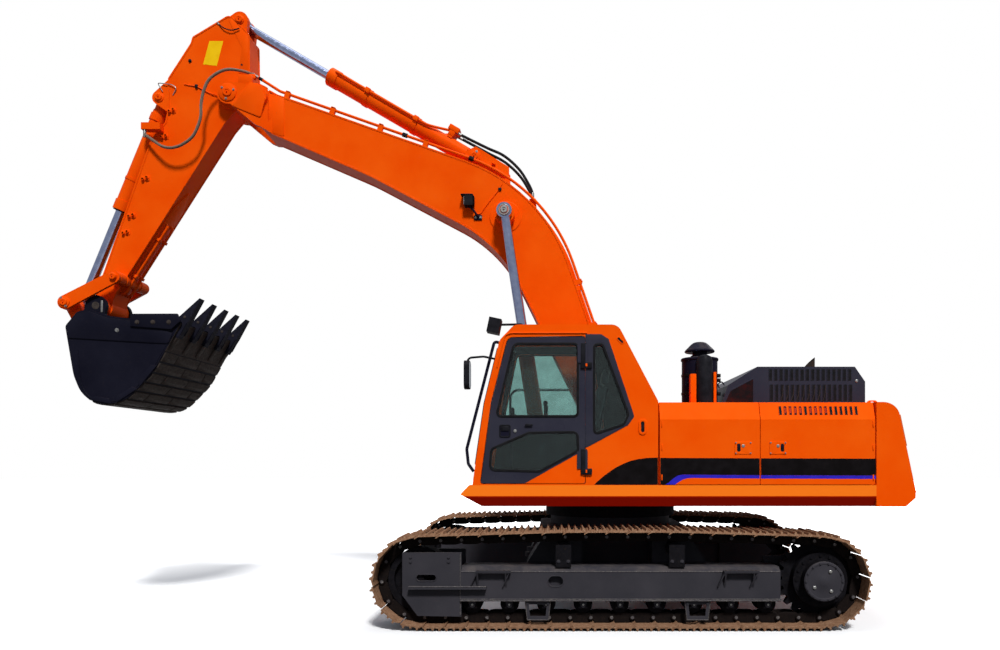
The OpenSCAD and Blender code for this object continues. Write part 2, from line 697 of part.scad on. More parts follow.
module cab_door() {
    color(dark) machine() difference() {
        union() {
            along_y(cab_y0, cab_y0 + door_t) polygon(rounded(inset(door_opening, door_gap)));
            for (z = door_hinge_z) {
                translate([door_hinge[0], door_hinge[1], z - hinge_h / 2])
                    cylinder(d = hinge_d, h = hinge_h, $fn = 32);
                box([door_hinge[0] - 95, cab_y0 - 14, z - 90], [door_hinge[0], cab_y0 - 4, z + 90]);
                box([door_hinge[0] - 95, cab_y0 - 6, z - 90], [door_hinge[0] - 20, cab_y0 + 2, z + 90]);
            }
        }
        for (z = door_hinge_z) translate([door_hinge[0], door_hinge[1], z - hinge_h / 2 - 10])
            cylinder(d = hinge_pin_d + 2 * pin_fit, h = hinge_h + 20, $fn = 32);
        along_y(cab_y0 - 20, cab_y0 + cab_t) polygon(rounded(door_window));
        along_y(cab_y0 - 20, cab_y0 + cab_t) polygon(rounded(door_low_window));
    }
}

module door_glass() {
    y = cab_y0 + 16;
    color(glass) machine() along_y(y, y + glass_t) {
        polygon(rounded(inset(door_window, seat_gap)));
        polygon(rounded(inset(door_low_window, seat_gap)));
    }
}

seat_x = -420;
seat_y = (cab_y0 + cab_y1) / 2;
floor_z = deck_top + cab_t;

module operator_seat() {
    color(black) machine() translate([seat_x, seat_y, 0]) {
        box([-250, -230, floor_z + seat_gap], [230, 230, floor_z + 300]);
        box([-310, -250, floor_z + 300], [200, 250, floor_z + 440]);
        translate([150, 0, floor_z + 430]) rotate([0, 12, 0]) {
            box([-60, -240, 0], [60, 240, 600]);
            box([-45, -130, 590], [45, 130, 780]);
        }
    }
}

module cab_console() {
    color(black) machine() translate([seat_x, seat_y, 0]) {
        for (s = [-1, 1]) {
            box([-420, min(s * 262, s * 390), floor_z + seat_gap],
                [220, max(s * 262, s * 390), floor_z + 560]);
            translate([-350, s * 320, floor_z + 550]) cylinder(d = 26, h = 200, $fn = 24);
        }
    }
}

module cab_guard_rail() {
    y = cab_y0 + 60;
    color(dark) machine() tube([
        [front_x(2960) - 3, y, 2960, 0], [-1300, y, 2975, 30], [-1588, y, 1855, 60], [-1572, y, 1700, 50],
        [front_x(1620) - 12, y, 1620, 0]
    ], 32);
}

module cab_mirror() {
    color(black) machine() {
        tube([[front_x(2790) - 8.2, cab_y0 + 40, 2790, 0], [-1400, cab_y0 - 60, 2800, 60],
            [-1560, cab_y0 - 110, 2780, 50], [-1565, cab_y0 - 110, 2480, 0]], 22);
        along_x(-1590, -1540) polygon(rounded([
            [cab_y0 - 200, 2460, 60], [cab_y0 - 30, 2460, 60],
            [cab_y0 - 30, 2750, 60], [cab_y0 - 200, 2750, 60]
        ]));
    }
}

module cab_lamp() {
    y = cab_y0 + 190;
    color(black) machine() {
        box([-1060, y - 40, cab_z + seat_gap], [-960, y + 40, cab_z + 12]);
        tube([[-1010, y, cab_z + 5, 0], [-1010, y, cab_z + 35, 25], [-1300, y, cab_z + 30, 0]], 24);
        translate([-1300, y, cab_z + 15]) rotate([0, 12, 0]) box([-75, -80, -80], [55, 80, 75]);
    }
}

engine_box = [[1490, -620, beam_z + seat_gap], [2400, 620, 2250]];

module engine_block() {
    color(dark) machine() box(engine_box[0], engine_box[1]);
}

hood_x = [1122, 2650];
hood_y = 1200;
chamfer_z = 2160;
chamfer_y = 60;

// Pins that the side doors turn on: [place in x, side of the machine]
door_inset = 20;
door_pin_d = 20;
rear_door_x1 = house_x1 - 10;
door_pins = [
    [split_x[0] + door_gap / 2 + door_inset, -1], [rear_door_x1 - door_gap / 2 - door_inset, -1],
    [rear_door_x1 - door_gap / 2 - door_inset, 1]
];
wall_gap = 15;

// Half outline of a wall inside the side doors, in [y, z], from the inner edge y
function wall(y) = [
    [-half_w + skirt_w + seat_gap, deck_z + deck_plate_t + seat_gap],
    [-half_w + skirt_w + seat_gap, deck_top + seat_gap],
    [-half_w + panel_t + wall_gap, deck_top + seat_gap],
    [-half_w + panel_t + wall_gap, chamfer_z],
    [-half_w + chamfer_y + panel_t + wall_gap, house_z - 1],
    [y, house_z - 1], [y, deck_z + deck_plate_t + seat_gap]
];

module house_frame() {
    t = panel_t;
    x0 = split_x[0];
    x1 = house_x1;
    low = deck_z + deck_plate_t + seat_gap;
    edge = half_w - chamfer_y - t - side_gap;
    color(orange) machine() {
        difference() {
            box([x0, -edge, house_z - t], [x1, edge, house_z]);
            box([hood_x[0] + 80, -hood_y + 70, house_z - t - 10],
                [hood_x[1] - 80, hood_y - 70, house_z + 10]);
        }
        // Walls behind the cab, between the compartments and before the counterweight
        both_sides() {
            along_x(x0, x0 + t) polygon(wall(-bracket_y[1] - 20));
            along_x(split_x[1] - t / 2, split_x[1] + t / 2) polygon(wall(-720));
            along_x(x1 - t, x1) polygon(wall(-bracket_y[1] - 20));
        }
        box([x0, -bracket_y[0] + 20, low], [x0 + t, bracket_y[0] - 20, house_z - 1]);
        box([x1 - t, -bracket_y[1] - 30, beam_z + 10], [x1, bracket_y[1] + 30, house_z - 1]);
    }
}

// Section of a side door in [y, z]
module door_section() {
    t = panel_t;
    z0 = deck_top + door_gap;
    polygon([
        [-half_w, z0], [-half_w, chamfer_z], [-half_w + chamfer_y, house_z],
        [-half_w + chamfer_y + t - 5, house_z], [-half_w + t, chamfer_z], [-half_w + t, z0]
    ]);
}

module side_door(x0, x1, hinge_x) {
    difference() {
        along_x(x0 + door_gap / 2, x1 - door_gap / 2) door_section();
        translate([hinge_x, -half_w + door_inset, deck_top - 1])
            cylinder(d = door_pin_d + 2 * pin_fit, h = 90, $fn = 32);
    }
}

module left_front_door() {
    color(orange) machine() side_door(split_x[0], split_x[1], door_pins[0][0]);
}

module left_rear_door() {
    color(orange) machine() side_door(split_x[1], rear_door_x1, door_pins[1][0]);
}

module right_door() {
    color(orange) machine() mirror([0, 1, 0])
        side_door(split_x[1], rear_door_x1, door_pins[2][0]);
}

hood_hinge = [hood_x[1] + 18, house_z + 18];
hood_knuckles = [-900, -300, 300, 900];

module engine_hood() {
    z0 = house_z + 4;
    z1 = house_z + hood_h;
    color(dark) machine() {
        difference() {
            along_y(-hood_y, hood_y) polygon([
                [hood_x[0], z0], [hood_x[1], z0], [hood_x[1], z1 - 160], [2540, z1], [1497, z1],
                [hood_x[0] + 55, z0 + 195]
            ]);
            along_y(-hood_y + 30, hood_y - 30) polygon([
                [hood_x[0] + 32, z0 - 1], [hood_x[1] - 30, z0 - 1], [hood_x[1] - 30, z1 - 170],
                [2525, z1 - 30], [1505, z1 - 30], [hood_x[0] + 82, z0 + 178]
            ]);
        }
        for (y = hood_knuckles) difference() {
            union() {
                bar_y(hood_hinge, hinge_d, y - 40, y + 40);
                box([hood_x[1] - 5, y - 35, hood_hinge[1] - 6], [hood_hinge[0], y + 35, hood_hinge[1] + 10]);
            }
            bar_y(hood_hinge, hinge_pin_d + 2 * pin_fit, y - 50, y + 50);
        }
    }
}

module exhaust_pipe() {
    color(black) machine() translate([2450, 0, house_z + hood_h + seat_gap]) difference() {
        cylinder(d = 130, h = 260, $fn = 48);
        translate([0, 0, -1]) cylinder(d = 118, h = 270, $fn = 48);
        // Raked mouth
        along_y(-70, 70) polygon([[-70, 125], [70, 265], [70, 300], [-70, 300]]);
    }
}

module air_cleaner() {
    color(black) machine() translate([915, -1000, house_z + seat_gap]) {
        cylinder(d = 386, h = 505, $fn = 64);
        cylinder(d = 160, h = 590, $fn = 48);
        rotate_extrude($fn = 64) polygon(rounded([
            [0, 575, 0], [158, 575, 6], [158, 600, 8], [70, 688, 90], [0, 694, 0]
        ]));
    }
}

module counterweight() {
    rake = 175;
    color(orange) machine() {
        intersection() {
            rotate_extrude($fn = 180) polygon(rounded([
                [2000, deck_z, 0], [tail_r - 90, deck_z, 0], [tail_r, deck_z + 90, 0],
                [tail_r, deck_z + 160, 300], [tail_r - rake, house_z, 150], [2000, house_z, 0]
            ]));
            box([house_x1 + seat_gap, -half_w, deck_z - 1], [tail_r + 1, half_w, house_z + 1]);
        }
        // Fixed halves of the hood's hinges
        for (y = hood_knuckles) {
            box([hood_hinge[0] - 8, y + 45, house_z - 5], [hood_hinge[0] + 12, y + 65, hood_hinge[1] + 10]);
            bar_y(hood_hinge, hinge_pin_d, y - 40, y + 64);
        }
    }
}

// Section of a tank on the right side in [y, z]
function tank_section(z) = rounded([
    [platform_y, deck_top + seat_gap, 0], [half_w - 10, deck_top + seat_gap, 0],
    [half_w - 10, z, 60], [platform_y, z, 60]
]);

module fuel_tank() {
    color(orange) machine() along_x(-560, split_x[0] - 10) polygon(tank_section(house_z - 40));
}

module hydraulic_tank() {
    low = deck_z + deck_plate_t + seat_gap;
    color(orange) machine() {
        along_x(split_x[0] + panel_t + seat_gap, split_x[1] - panel_t / 2 - seat_gap) polygon([
            [platform_y, low], [half_w - skirt_w - seat_gap, low],
            [half_w - skirt_w - seat_gap, deck_top + seat_gap], [half_w - 10, deck_top + seat_gap],
            [half_w - 10, chamfer_z], [half_w - 60, house_z - panel_t - seat_gap],
            [platform_y, house_z - panel_t - seat_gap]
        ]);
    }
}

module tool_box() {
    color(orange) machine() along_x(-1400, -570) polygon(tank_section(deck_top + 420));
}

module deck_rails() {
    d = 34;
    y = half_w - 90;
    color(dark) machine() tube([
        [-1300, y, deck_top + 420 + seat_gap, 0], [-1300, y, deck_top + 1250, 120],
        [300, y, deck_top + 1250, 120], [300, y, house_z - 40 + seat_gap, 0]
    ], d);
}

// ---------- boom ----------

half_boom = boom_w / 2;
half_box = boom_box_w / 2;
rod_eye_w = eye_w + 4;
fork_r = 560;

// Boom outline: tip ears, top with its knee, foot, underside
boom_outline = rounded([
    [-4290, 6235, 60], [-4118, 6198, 40], [-4005, 6126, 80], [-828, 5010, 2000],
    [190, 2085, 0], [100, 1880, 90], [-100, 1860, 90], [-190, 2010, 0],
    [-1330, 4330, 1700], [-2900, 5160, 3000], [-4240, 5735, 0], [-4540, 5985, 0]
]);
// Where the box starts to widen into the ears of the tip, and where it is at its full width
flare_x = [-4060, -4165];

module boom() {
    color(orange) machine() difference() {
        union() {
            intersection() {
                along_y(-half_boom, half_boom) polygon(boom_outline);
                translate([0, 0, 1500]) linear_extrude(height = 5000) polygon([
                    [flare_x[1] - 600, -half_boom], [flare_x[1], -half_boom], [flare_x[0], -half_box],
                    [300, -half_box], [300, half_box], [flare_x[0], half_box],
                    [flare_x[1], half_boom], [flare_x[1] - 600, half_boom]
                ]);
            }
            along_y(-half_boom, half_boom) strap(arm_pivot, arm_pivot + [330, -40], 130, 130);
            along_y(-half_boom, half_boom) translate(boom_foot) circle(r = 190, $fn = 64);
            // Block where the arm cylinder's hoses end
            box([-980, -160, 4600], [-900, 160, hose_block_z]);
            both_sides() bar_y(boom_cyl_rod, 230, -cyl_y + rod_eye_w / 2 + side_gap, -half_box + 60);
            both_sides() along_y(-150, -105) polygon([
                arm_cyl_base + [-130, -190], arm_cyl_base + [-110, 60], arm_cyl_base + [20, 120],
                arm_cyl_base + [420, -130], arm_cyl_base + [420, -260]
            ]);
        }
        bar_y(boom_foot, pin_d + 2 * pin_fit, -half_boom - 50, half_boom + 50);
        along_y(-half_boom + ear_t, half_boom - ear_t) translate(arm_pivot) circle(r = fork_r, $fn = 96);
    }
    color(orange) machine() {
        bar_y(arm_pivot, pin_d, -half_boom + 4, half_boom - 4);
        bar_y(arm_cyl_base, pin_d, -114, 114);
    }
}

// Line of the steel pipes along the boom's top, from the tip's hoses to the foot
hose_block_z = 4894;
pipe_d = 34;
pipe_y = 177;
pipe_rise = 60;
pipe_line = [[-4240, 6346.4], [-3978.6, 6180.3], [-780.8, 5057], [33, 2718.6]];
pipe_bend = [0, 100, 2060, 0];
// Clamps: share of the way along a straight length of the pipes, between two of their points
clamps = [[0.03, 1], [0.2, 1], [0.38, 1], [0.55, 1], [0.5, 2], [0.72, 2], [0.95, 2]];

module boom_pipes() {
    color(orange) machine() for (side = [-1, 1]) {
        tube([for (i = [0:3]) [pipe_line[i][0], side * pipe_y, pipe_line[i][1], pipe_bend[i]]], pipe_d);
        for (c = clamps) {
            p = pipe_line[c[1]];
            q = pipe_line[c[1] + 1];
            at = p + c[0] * (q - p);
            translate([at[0], side * pipe_y, at[1]]) rotate([0, -atan2(q[1] - p[1], q[0] - p[0]), 0])
                box([-30, -22, -pipe_rise + seat_gap], [30, 22, 22]);
        }
    }
}

module boom_lamp() {
    color(black) machine() translate([-1700, -half_box - 60, 4830])
        box([-50, -50, -60], [50, 60 - seat_gap, 60]);
}

// A hydraulic cylinder's barrel: eye at p, tube towards q, length along the axis
function axis_a(p, q) = atan2(q[1] - p[1], q[0] - p[0]);

module along_cylinder(p, q, y) {
    translate([p[0], y, p[1]]) rotate([0, -axis_a(p, q), 0]) rotate([0, 90, 0]) children();
}

chamber_start = 160;
gland_t = 80;
piston_t = 60;

module barrel(p, q, d, len, y, eye, eye_d = 200) {
    difference() {
        union() {
            along_cylinder(p, q, y) {
                translate([0, 0, 60]) cylinder(d = min(eye, d) - 16, h = tube_start - 50, $fn = 64);
                translate([0, 0, tube_start]) cylinder(d = d, h = len - tube_start, $fn = 64);
                translate([0, 0, len - 120]) cylinder(d = d + 20, h = 120, $fn = 64);
            }
            bar_y(p, eye_d, y - eye / 2, y + eye / 2);
        }
        bar_y(p, pin_d + 2 * pin_fit, y - 200, y + 200);
        along_cylinder(p, q, y) {
            translate([0, 0, chamber_start])
                cylinder(d = rod_d + 30, h = len - chamber_start - gland_t, $fn = 64);
            translate([0, 0, chamber_start + 10]) cylinder(d = rod_d + 2 * pin_fit, h = len, $fn = 64);
        }
    }
}

// Its rod: a piston at distance start from p, and an eye at q
module rod(p, q, start, y, eye) {
    along_cylinder(p, q, y) {
        translate([0, 0, start]) cylinder(d = rod_d, h = norm(q - p) - start - 40, $fn = 64);
        translate([0, 0, start]) cylinder(d = rod_d + 28, h = piston_t, $fn = 64);
    }
    bar_y(q, 180, y - eye / 2, y + eye / 2);
}

boom_barrel_len = 1800;
arm_barrel_len = 2060;
bucket_barrel_len = 1430;

module boom_barrels() {
    color(orange) machine() both_sides()
        barrel(boom_cyl_base, boom_cyl_rod, boom_barrel_d, boom_barrel_len, -cyl_y, eye_w);
}

module boom_rods() {
    color(steel) machine() both_sides()
        rod(boom_cyl_base, boom_cyl_rod, 1345, -cyl_y, rod_eye_w);
}

// ---------- arm ----------

half_arm = arm_w / 2;
half_arm_box = arm_box_w / 2;
// Half width of the space between the bucket cylinder's lugs, and of its eye
lug_y = bucket_barrel_d / 2 + 10 + side_gap;
bucket_eye_d = 170;
arm_outline = rounded([
    [-4600, 7110, 60], [-5040, 6845, 40], [-5060, 6770, 30], [-5335, 6345, 60], [-5335, 5980, 40],
    [-5370, 5815, 40], [-5543, 5604, 60],
    [-6207, 3734, 60], [-6235, 3541, 0], [-6060, 3480, 0], [-5975, 3745, 40],
    [-4660, 5811, 150], [-4440, 6070, 60], [-4352, 6220, 40], [-4362, 6870, 60]
]);

module arm() {
    color(orange) machine() difference() {
        union() {
            along_y(-half_arm_box, half_arm_box) polygon(arm_outline);
            along_y(-half_arm_box, half_arm_box) translate(bucket_pivot) circle(r = 125, $fn = 48);
            bar_y(arm_pivot, 300, -half_boom + ear_t + side_gap, half_boom - ear_t - side_gap);
            bar_y(bucket_pivot, 220, -half_arm - 25, half_arm + 25);
            bar_y(rocker_pivot, 150, -half_arm - 85, half_arm + 85);
            bar_y(rocker_pivot, pin_d - 10, -half_arm - 135, half_arm + 135);
            // Lugs of the arm cylinder and of the bucket cylinder
            both_sides() along_y(-150, -80) strap(arm_cyl_rod, [-4600, 6850], 100, 200);
            both_sides() along_y(-half_arm_box + 3, -lug_y) {
                strap(bucket_cyl_base, bucket_cyl_base + [180, 130], 85, 110);
                strap(bucket_cyl_base, bucket_cyl_base + [170, -110], 85, 90);
            }
        }
        bar_y(arm_pivot, pin_d + 2 * pin_fit, -half_boom, half_boom);
        bar_y(bucket_pivot, pin_d + 2 * pin_fit, -half_boom, half_boom);
        // Room for the rod's eye between the lugs
        along_y(-80, 80) translate(arm_cyl_rod) circle(r = 190, $fn = 48);
    }
    color(orange) machine() bar_y(bucket_cyl_base, pin_d, -lug_y - 4, lug_y + 4);
}

// Blocks on the arm's sides where the hoses from the boom end
arm_block = [[-5615, 5695], [-5390, 5775]];

module arm_pipes() {
    color(orange) machine() both_sides()
        box([arm_block[0][0], -half_arm - 50, arm_block[0][1]],
            [arm_block[1][0], -half_arm_box - seat_gap, arm_block[1][1]]);
}

module arm_barrel() {
    color(orange) machine() {
        barrel(arm_cyl_base, arm_cyl_rod, arm_barrel_d, arm_barrel_len, 0, 200);
        // Ports for its hoses
        along_cylinder(arm_cyl_base, arm_cyl_rod, 0) both_sides() box([70, -85, 370], [190, -35, 430]);
    }
}

module arm_rod() {
    color(steel) machine() rod(arm_cyl_base, arm_cyl_rod, 1100, 0, 140);
}

module bucket_barrel() {
    color(orange) machine()
        barrel(bucket_cyl_base, rocker_tip, bucket_barrel_d, bucket_barrel_len, 0, 2 * (lug_y - side_gap),
            bucket_eye_d);
}

module bucket_rod() {
    color(steel) machine() rod(bucket_cyl_base, rocker_tip, 1120, 0, 140);
}

module rocker_links() {
    color(orange) machine() both_sides() difference() {
        along_y(-half_arm - 130, -half_arm - 90) strap(rocker_pivot, rocker_tip, 72, 80);
        bar_y(rocker_pivot, pin_d - 10 + 2 * pin_fit, -half_arm - 200, -half_arm);
    }
}

module bucket_link() {
    color(orange) machine() difference() {
        union() {
            both_sides() along_y(-190, -130) strap(rocker_tip, link_pin, link_r, link_r - 10);
            both_sides() bar_y(rocker_tip, 2 * link_r - 6, -half_arm - 84, -80);
            bar_y(link_pin, 2 * link_r - 26, -half_arm - 25, half_arm + 25);
        }
        bar_y(link_pin, pin_d + 2 * pin_fit, -half_boom, half_boom);
    }
}

// ---------- hoses ----------

hose_d = pipe_d;
// Routes in the machine's own frame [x, y, z]
arm_hose_route = [
    [-4242, -177, 6347.5], [-4300, -180, 6378], [-4427, -250, 6392], [-4575, -330, 6362],
    [-4739, -350, 6256], [-4813, -352, 6122], [-4850, -350, 5960], [-4862, -346, 5781],
    [-4947, -335, 5588], [-5080, -325, 5484], [-5214, -312, 5447], [-5333, -295, 5469],
    [-5452, -268, 5545], [-5540, -242, 5610], [-5578, -231, 5640], [-5580, -231, 5691]
];
arm_cylinder_hose_route = [
    [-1880, -60, 5740], [-1790, -62, 5690], [-1500, -80, 5540], [-1290, -100, 5435], [-1110, -110, 5272],
    [-1000, -115, 5104], [-945, -115, 4984], [-940, -115, hose_block_z + 1]
];

module arm_hoses() {
    color(black) machine() both_sides() hose(arm_hose_route, hose_d);
}

module arm_cylinder_hoses() {
    color(black) machine() both_sides() hose(arm_cylinder_hose_route, hose_d);
}

// ---------- bucket ----------

half_bucket = bucket_w / 2;
ear_y = [half_arm + 30, half_arm + 80];
// Side plate and shell in [x, z, corner radius], anticlockwise from the lip;
// the shell's last side is the mouth
side_plate = [
    [-4905, 3300, 0], [-5475, 3343, 0], [-5730, 3375, 0], [-5950, 3450, 30], [-6080, 3420, 60],
    [-6215, 3260, 60], [-6120, 2700, 500], [-5985, 2370, 330], [-5560, 2385, 420], [-5230, 2720, 500]
];
shell = [
    [-4905, 3300, 0], [-6035, 3390, 0], [-6095, 3060, 300], [-6070, 2700, 400], [-5985, 2370, 280],
    [-5560, 2385, 400], [-5230, 2720, 500]
];
lip_u = unit([shell[0][0], shell[0][1]] - [shell[6][0], shell[6][1]]);
back_u = unit([shell[1][0], shell[1][1]] - [shell[2][0], shell[2][1]]);

module bucket() {
    cavity = inset(shell, shell_t);
    lip_in = [cavity[0][0], cavity[0][1]];
    back_in = [cavity[1][0], cavity[1][1]];
    color(black) machine() {
        both_sides() along_y(-half_bucket, -half_bucket + side_t) polygon(rounded(side_plate));
        difference() {
            along_y(-half_bucket + side_t - 1, half_bucket - side_t + 1) polygon(rounded(shell));
            along_y(-half_bucket + side_t, half_bucket - side_t) {
                polygon(rounded(cavity));
                polygon([lip_in, back_in, back_in + 80 * back_u, lip_in + 80 * lip_u]);
            }
        }
        both_sides() along_y(-ear_y[1], -ear_y[0]) {
            strap(bucket_pivot, link_pin, 125, 120);
            polygon([link_pin + [60, -100], link_pin + [-60, 200], bucket_pivot + [100, -60],
                [-6005, 3395], [-6062, 3060], [-6050, 2850]]);
        }
        bar_y(bucket_pivot, pin_d, -ear_y[1] + 4, ear_y[1] - 4);
        bar_y(link_pin, pin_d, -ear_y[1] + 4, ear_y[1] - 4);
    }
}

// Each tooth straddles the lip: [along the lip, above its outer face]
module bucket_teeth() {
    g = seat_gap;
    tooth_w = 100;
    y0 = -half_bucket + side_t + g;
    pitch = (-2 * y0 - tooth_w) / (teeth - 1);
    color(black) machine() for (i = [0:teeth - 1])
        along_y(y0 + i * pitch, y0 + i * pitch + tooth_w)
            translate([shell[0][0], shell[0][1]]) rotate(atan2(lip_u[1], lip_u[0])) polygon([
                [-170, -42], [-170, -g], [1, -g], [1, shell_t + g], [-150, shell_t + g], [-150, 58],
                [40, 66], [341, -36], [341, -50], [60, -56]
            ]);
}

lower_frame();
track_frames();
track_left();
track_right();
idlers();
sprockets();
track_rollers();
carrier_rollers();
slew_ring();
deck_frame();
side_skirts();
cab_frame();
cab_glass();
operator_seat();
cab_console();
cab_guard_rail();
cab_mirror();
cab_lamp();
engine_block();
house_frame();
counterweight();
fuel_tank();
hydraulic_tank();
tool_box();
air_cleaner();
deck_rails();
cab_door();
door_glass();
left_front_door();
left_rear_door();
right_door();
engine_hood();
exhaust_pipe();
boom();
boom_pipes();
boom_lamp();
arm_cylinder_hoses();
arm_hoses();
boom_barrels();
boom_rods();
arm();
arm_pipes();
arm_barrel();
arm_rod();
bucket_barrel();
bucket_rod();
rocker_links();
bucket_link();
bucket();
bucket_teeth();
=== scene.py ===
"""Tracked excavator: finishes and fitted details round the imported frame."""

import math

import bmesh
import bpy
from mathutils import Matrix, Vector


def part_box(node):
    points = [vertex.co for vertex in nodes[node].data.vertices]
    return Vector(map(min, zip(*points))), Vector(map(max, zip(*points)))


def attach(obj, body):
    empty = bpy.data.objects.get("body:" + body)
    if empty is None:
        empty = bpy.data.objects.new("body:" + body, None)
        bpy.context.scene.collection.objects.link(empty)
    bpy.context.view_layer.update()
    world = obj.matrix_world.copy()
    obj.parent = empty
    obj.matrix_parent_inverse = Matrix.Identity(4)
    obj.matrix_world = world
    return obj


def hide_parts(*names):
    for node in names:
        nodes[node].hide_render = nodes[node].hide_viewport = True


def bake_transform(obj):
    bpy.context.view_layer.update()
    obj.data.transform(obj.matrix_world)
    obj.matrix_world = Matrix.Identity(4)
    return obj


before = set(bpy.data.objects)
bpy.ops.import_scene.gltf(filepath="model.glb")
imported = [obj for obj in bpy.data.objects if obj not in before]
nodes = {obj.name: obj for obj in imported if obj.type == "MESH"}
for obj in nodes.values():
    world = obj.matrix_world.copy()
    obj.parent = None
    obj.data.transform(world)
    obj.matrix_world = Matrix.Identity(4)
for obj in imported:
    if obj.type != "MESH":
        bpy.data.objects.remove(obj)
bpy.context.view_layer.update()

# The slew axis stands this far behind the origin, in millimetres
SLEW = 1582.5


def at(x, y, z):
    """A point given in millimetres from the slew axis and the ground, in metres."""
    return Vector(((x + SLEW) / 1000, y / 1000, z / 1000))


def side_point(point, y):
    """A point [x, z] of the side view at distance y from the middle."""
    return at(point[0], y, point[1])


# ---------- modelling ----------


def begin():
    """Object mode with nothing selected."""
    if bpy.context.mode != "OBJECT":
        bpy.ops.object.mode_set(mode="OBJECT")
    bpy.ops.object.select_all(action="DESELECT")


def made(name):
    """The object just added, named, with its place in its mesh."""
    piece = bpy.context.object
    piece.name = piece.data.name = name
    bpy.ops.object.transform_apply(location=True, rotation=True, scale=True)
    return piece


def choose(piece):
    begin()
    piece.select_set(True)
    bpy.context.view_layer.objects.active = piece


def edit(piece):
    """Edit mode on the piece, everything selected."""
    choose(piece)
    bpy.ops.object.mode_set(mode="EDIT")
    bpy.ops.mesh.select_all(action="SELECT")


def face_out():
    """Turns every face of the mesh in edit mode outwards."""
    bpy.ops.mesh.select_all(action="SELECT")
    bpy.ops.mesh.normals_make_consistent(inside=False)


def apply_modifier(piece, kind, **settings):
    choose(piece)
    modifier = piece.modifiers.new(kind.lower(), kind)
    for key, value in settings.items():
        setattr(modifier, key, value)
    bpy.ops.object.modifier_apply(modifier=modifier.name)
    return piece


def rounded_edges(piece, width, segments=2):
    """Breaks the sharp edges, as a press or a grinder leaves them."""
    if width:
        apply_modifier(piece, "BEVEL", width=width, segments=segments, limit_method="ANGLE",
                       angle_limit=math.radians(35))
    return smooth(piece)


def smooth(piece, angle=35):
    choose(piece)
    bpy.ops.object.shade_smooth_by_angle(angle=math.radians(angle))
    return piece


def block(name, low, high, bevel=0.003, turn=None, segments=2):
    """A block between two corners, its edges broken, turned about its middle."""
    begin()
    bpy.ops.mesh.primitive_cube_add(size=1, location=(low + high) / 2, rotation=turn or (0, 0, 0))
    bpy.context.object.scale = [abs(h - l) for l, h in zip(low, high)]
    return rounded_edges(made(name), bevel, segments)


def drum(name, start, end, radius, tip_radius=None, sides=32, bevel=0.0):
    """A round bar or cone from start to end."""
    begin()
    axis = end - start
    turn = axis.to_track_quat("Z", "Y").to_euler()
    tip = radius if tip_radius is None else tip_radius
    bpy.ops.mesh.primitive_cone_add(vertices=sides, radius1=radius, radius2=tip, depth=axis.length,
                                    location=(start + end) / 2, rotation=turn)
    return rounded_edges(made(name), bevel)


def outline(name, points, filled=True):
    """A closed flat outline through the points."""
    begin()
    bpy.ops.mesh.primitive_circle_add(vertices=len(points), fill_type="NGON" if filled else "NOTHING")
    piece = made(name)
    for vertex, point in zip(piece.data.vertices, points):
        vertex.co = point
    return piece


def sheet_metal(name, points, thickness, bevel=0.0, segments=2):
    """A plate cut to an outline and extruded by the vector thickness."""
    piece = outline(name, points)
    edit(piece)
    bpy.ops.mesh.extrude_region_move(TRANSFORM_OT_translate={"value": tuple(thickness)})
    face_out()
    return rounded_edges(piece, bevel, segments)


def side_plate(name, profile, y0, y1, bevel=0.0):
    """A plate of the side view, from y0 to y1; profile is a list of [x, z] in millimetres."""
    return sheet_metal(name, [side_point(p, y0) for p in profile], (0, (y1 - y0) / 1000, 0), bevel)


def turned(name, profile, centre, axis="Z", steps=48):
    """A turned shape: profile is a list of (radius, height) in metres, from the axis to the axis."""
    begin()
    bpy.ops.mesh.primitive_circle_add(vertices=len(profile), fill_type="NOTHING")
    piece = made(name)
    for vertex, (radius, height) in zip(piece.data.vertices, profile):
        vertex.co = (radius, 0, height)
    edit(piece)
    bpy.ops.mesh.spin(steps=steps, angle=2 * math.pi, center=(0, 0, 0), axis=(0, 0, 1), dupli=False)
    bpy.ops.mesh.select_all(action="SELECT")
    bpy.ops.mesh.remove_doubles(threshold=0.00005)
    bpy.ops.mesh.dissolve_degenerate(threshold=0.00005)
    face_out()
    begin()
    turns = {"Z": Matrix(), "X": Matrix.Rotation(math.radians(90), 4, "Y"),
             "Y": Matrix.Rotation(math.radians(-90), 4, "X")}
    piece.data.transform(Matrix.Translation(centre) @ turns[axis])
    return smooth(piece)


def tube(name, points, diameter, closed=False, sides=12):
    """A bar or bead of round section along the points, made a mesh."""
    curve = bpy.data.curves.new(name, "CURVE")
    curve.dimensions = "3D"
    curve.bevel_depth = diameter / 2
    curve.bevel_resolution = max(sides // 4 - 1, 0)
    curve.use_fill_caps = True
    spline = curve.splines.new("POLY")
    spline.points.add(len(points) - 1)
    for spot, point in zip(spline.points, points):
        spot.co = (*point, 1)
    spline.use_cyclic_u = closed
    piece = bpy.data.objects.new(name, curve)
    bpy.context.scene.collection.objects.link(piece)
    choose(piece)
    bpy.ops.object.convert(target="MESH")
    return smooth(bpy.context.object, 60)


def curved(points, radius, steps=6):
    """The points with each inner corner rounded to the radius."""
    path = [points[0]]
    for before, corner, after in zip(points, points[1:], points[2:]):
        a, b = (before - corner), (after - corner)
        reach = min(radius, 0.45 * a.length, 0.45 * b.length)
        start, end = corner + a.normalized() * reach, corner + b.normalized() * reach
        for i in range(steps + 1):
            t = i / steps
            path.append(start * (1 - t) ** 2 + corner * 2 * t * (1 - t) + end * t * t)
    return path + [points[-1]]


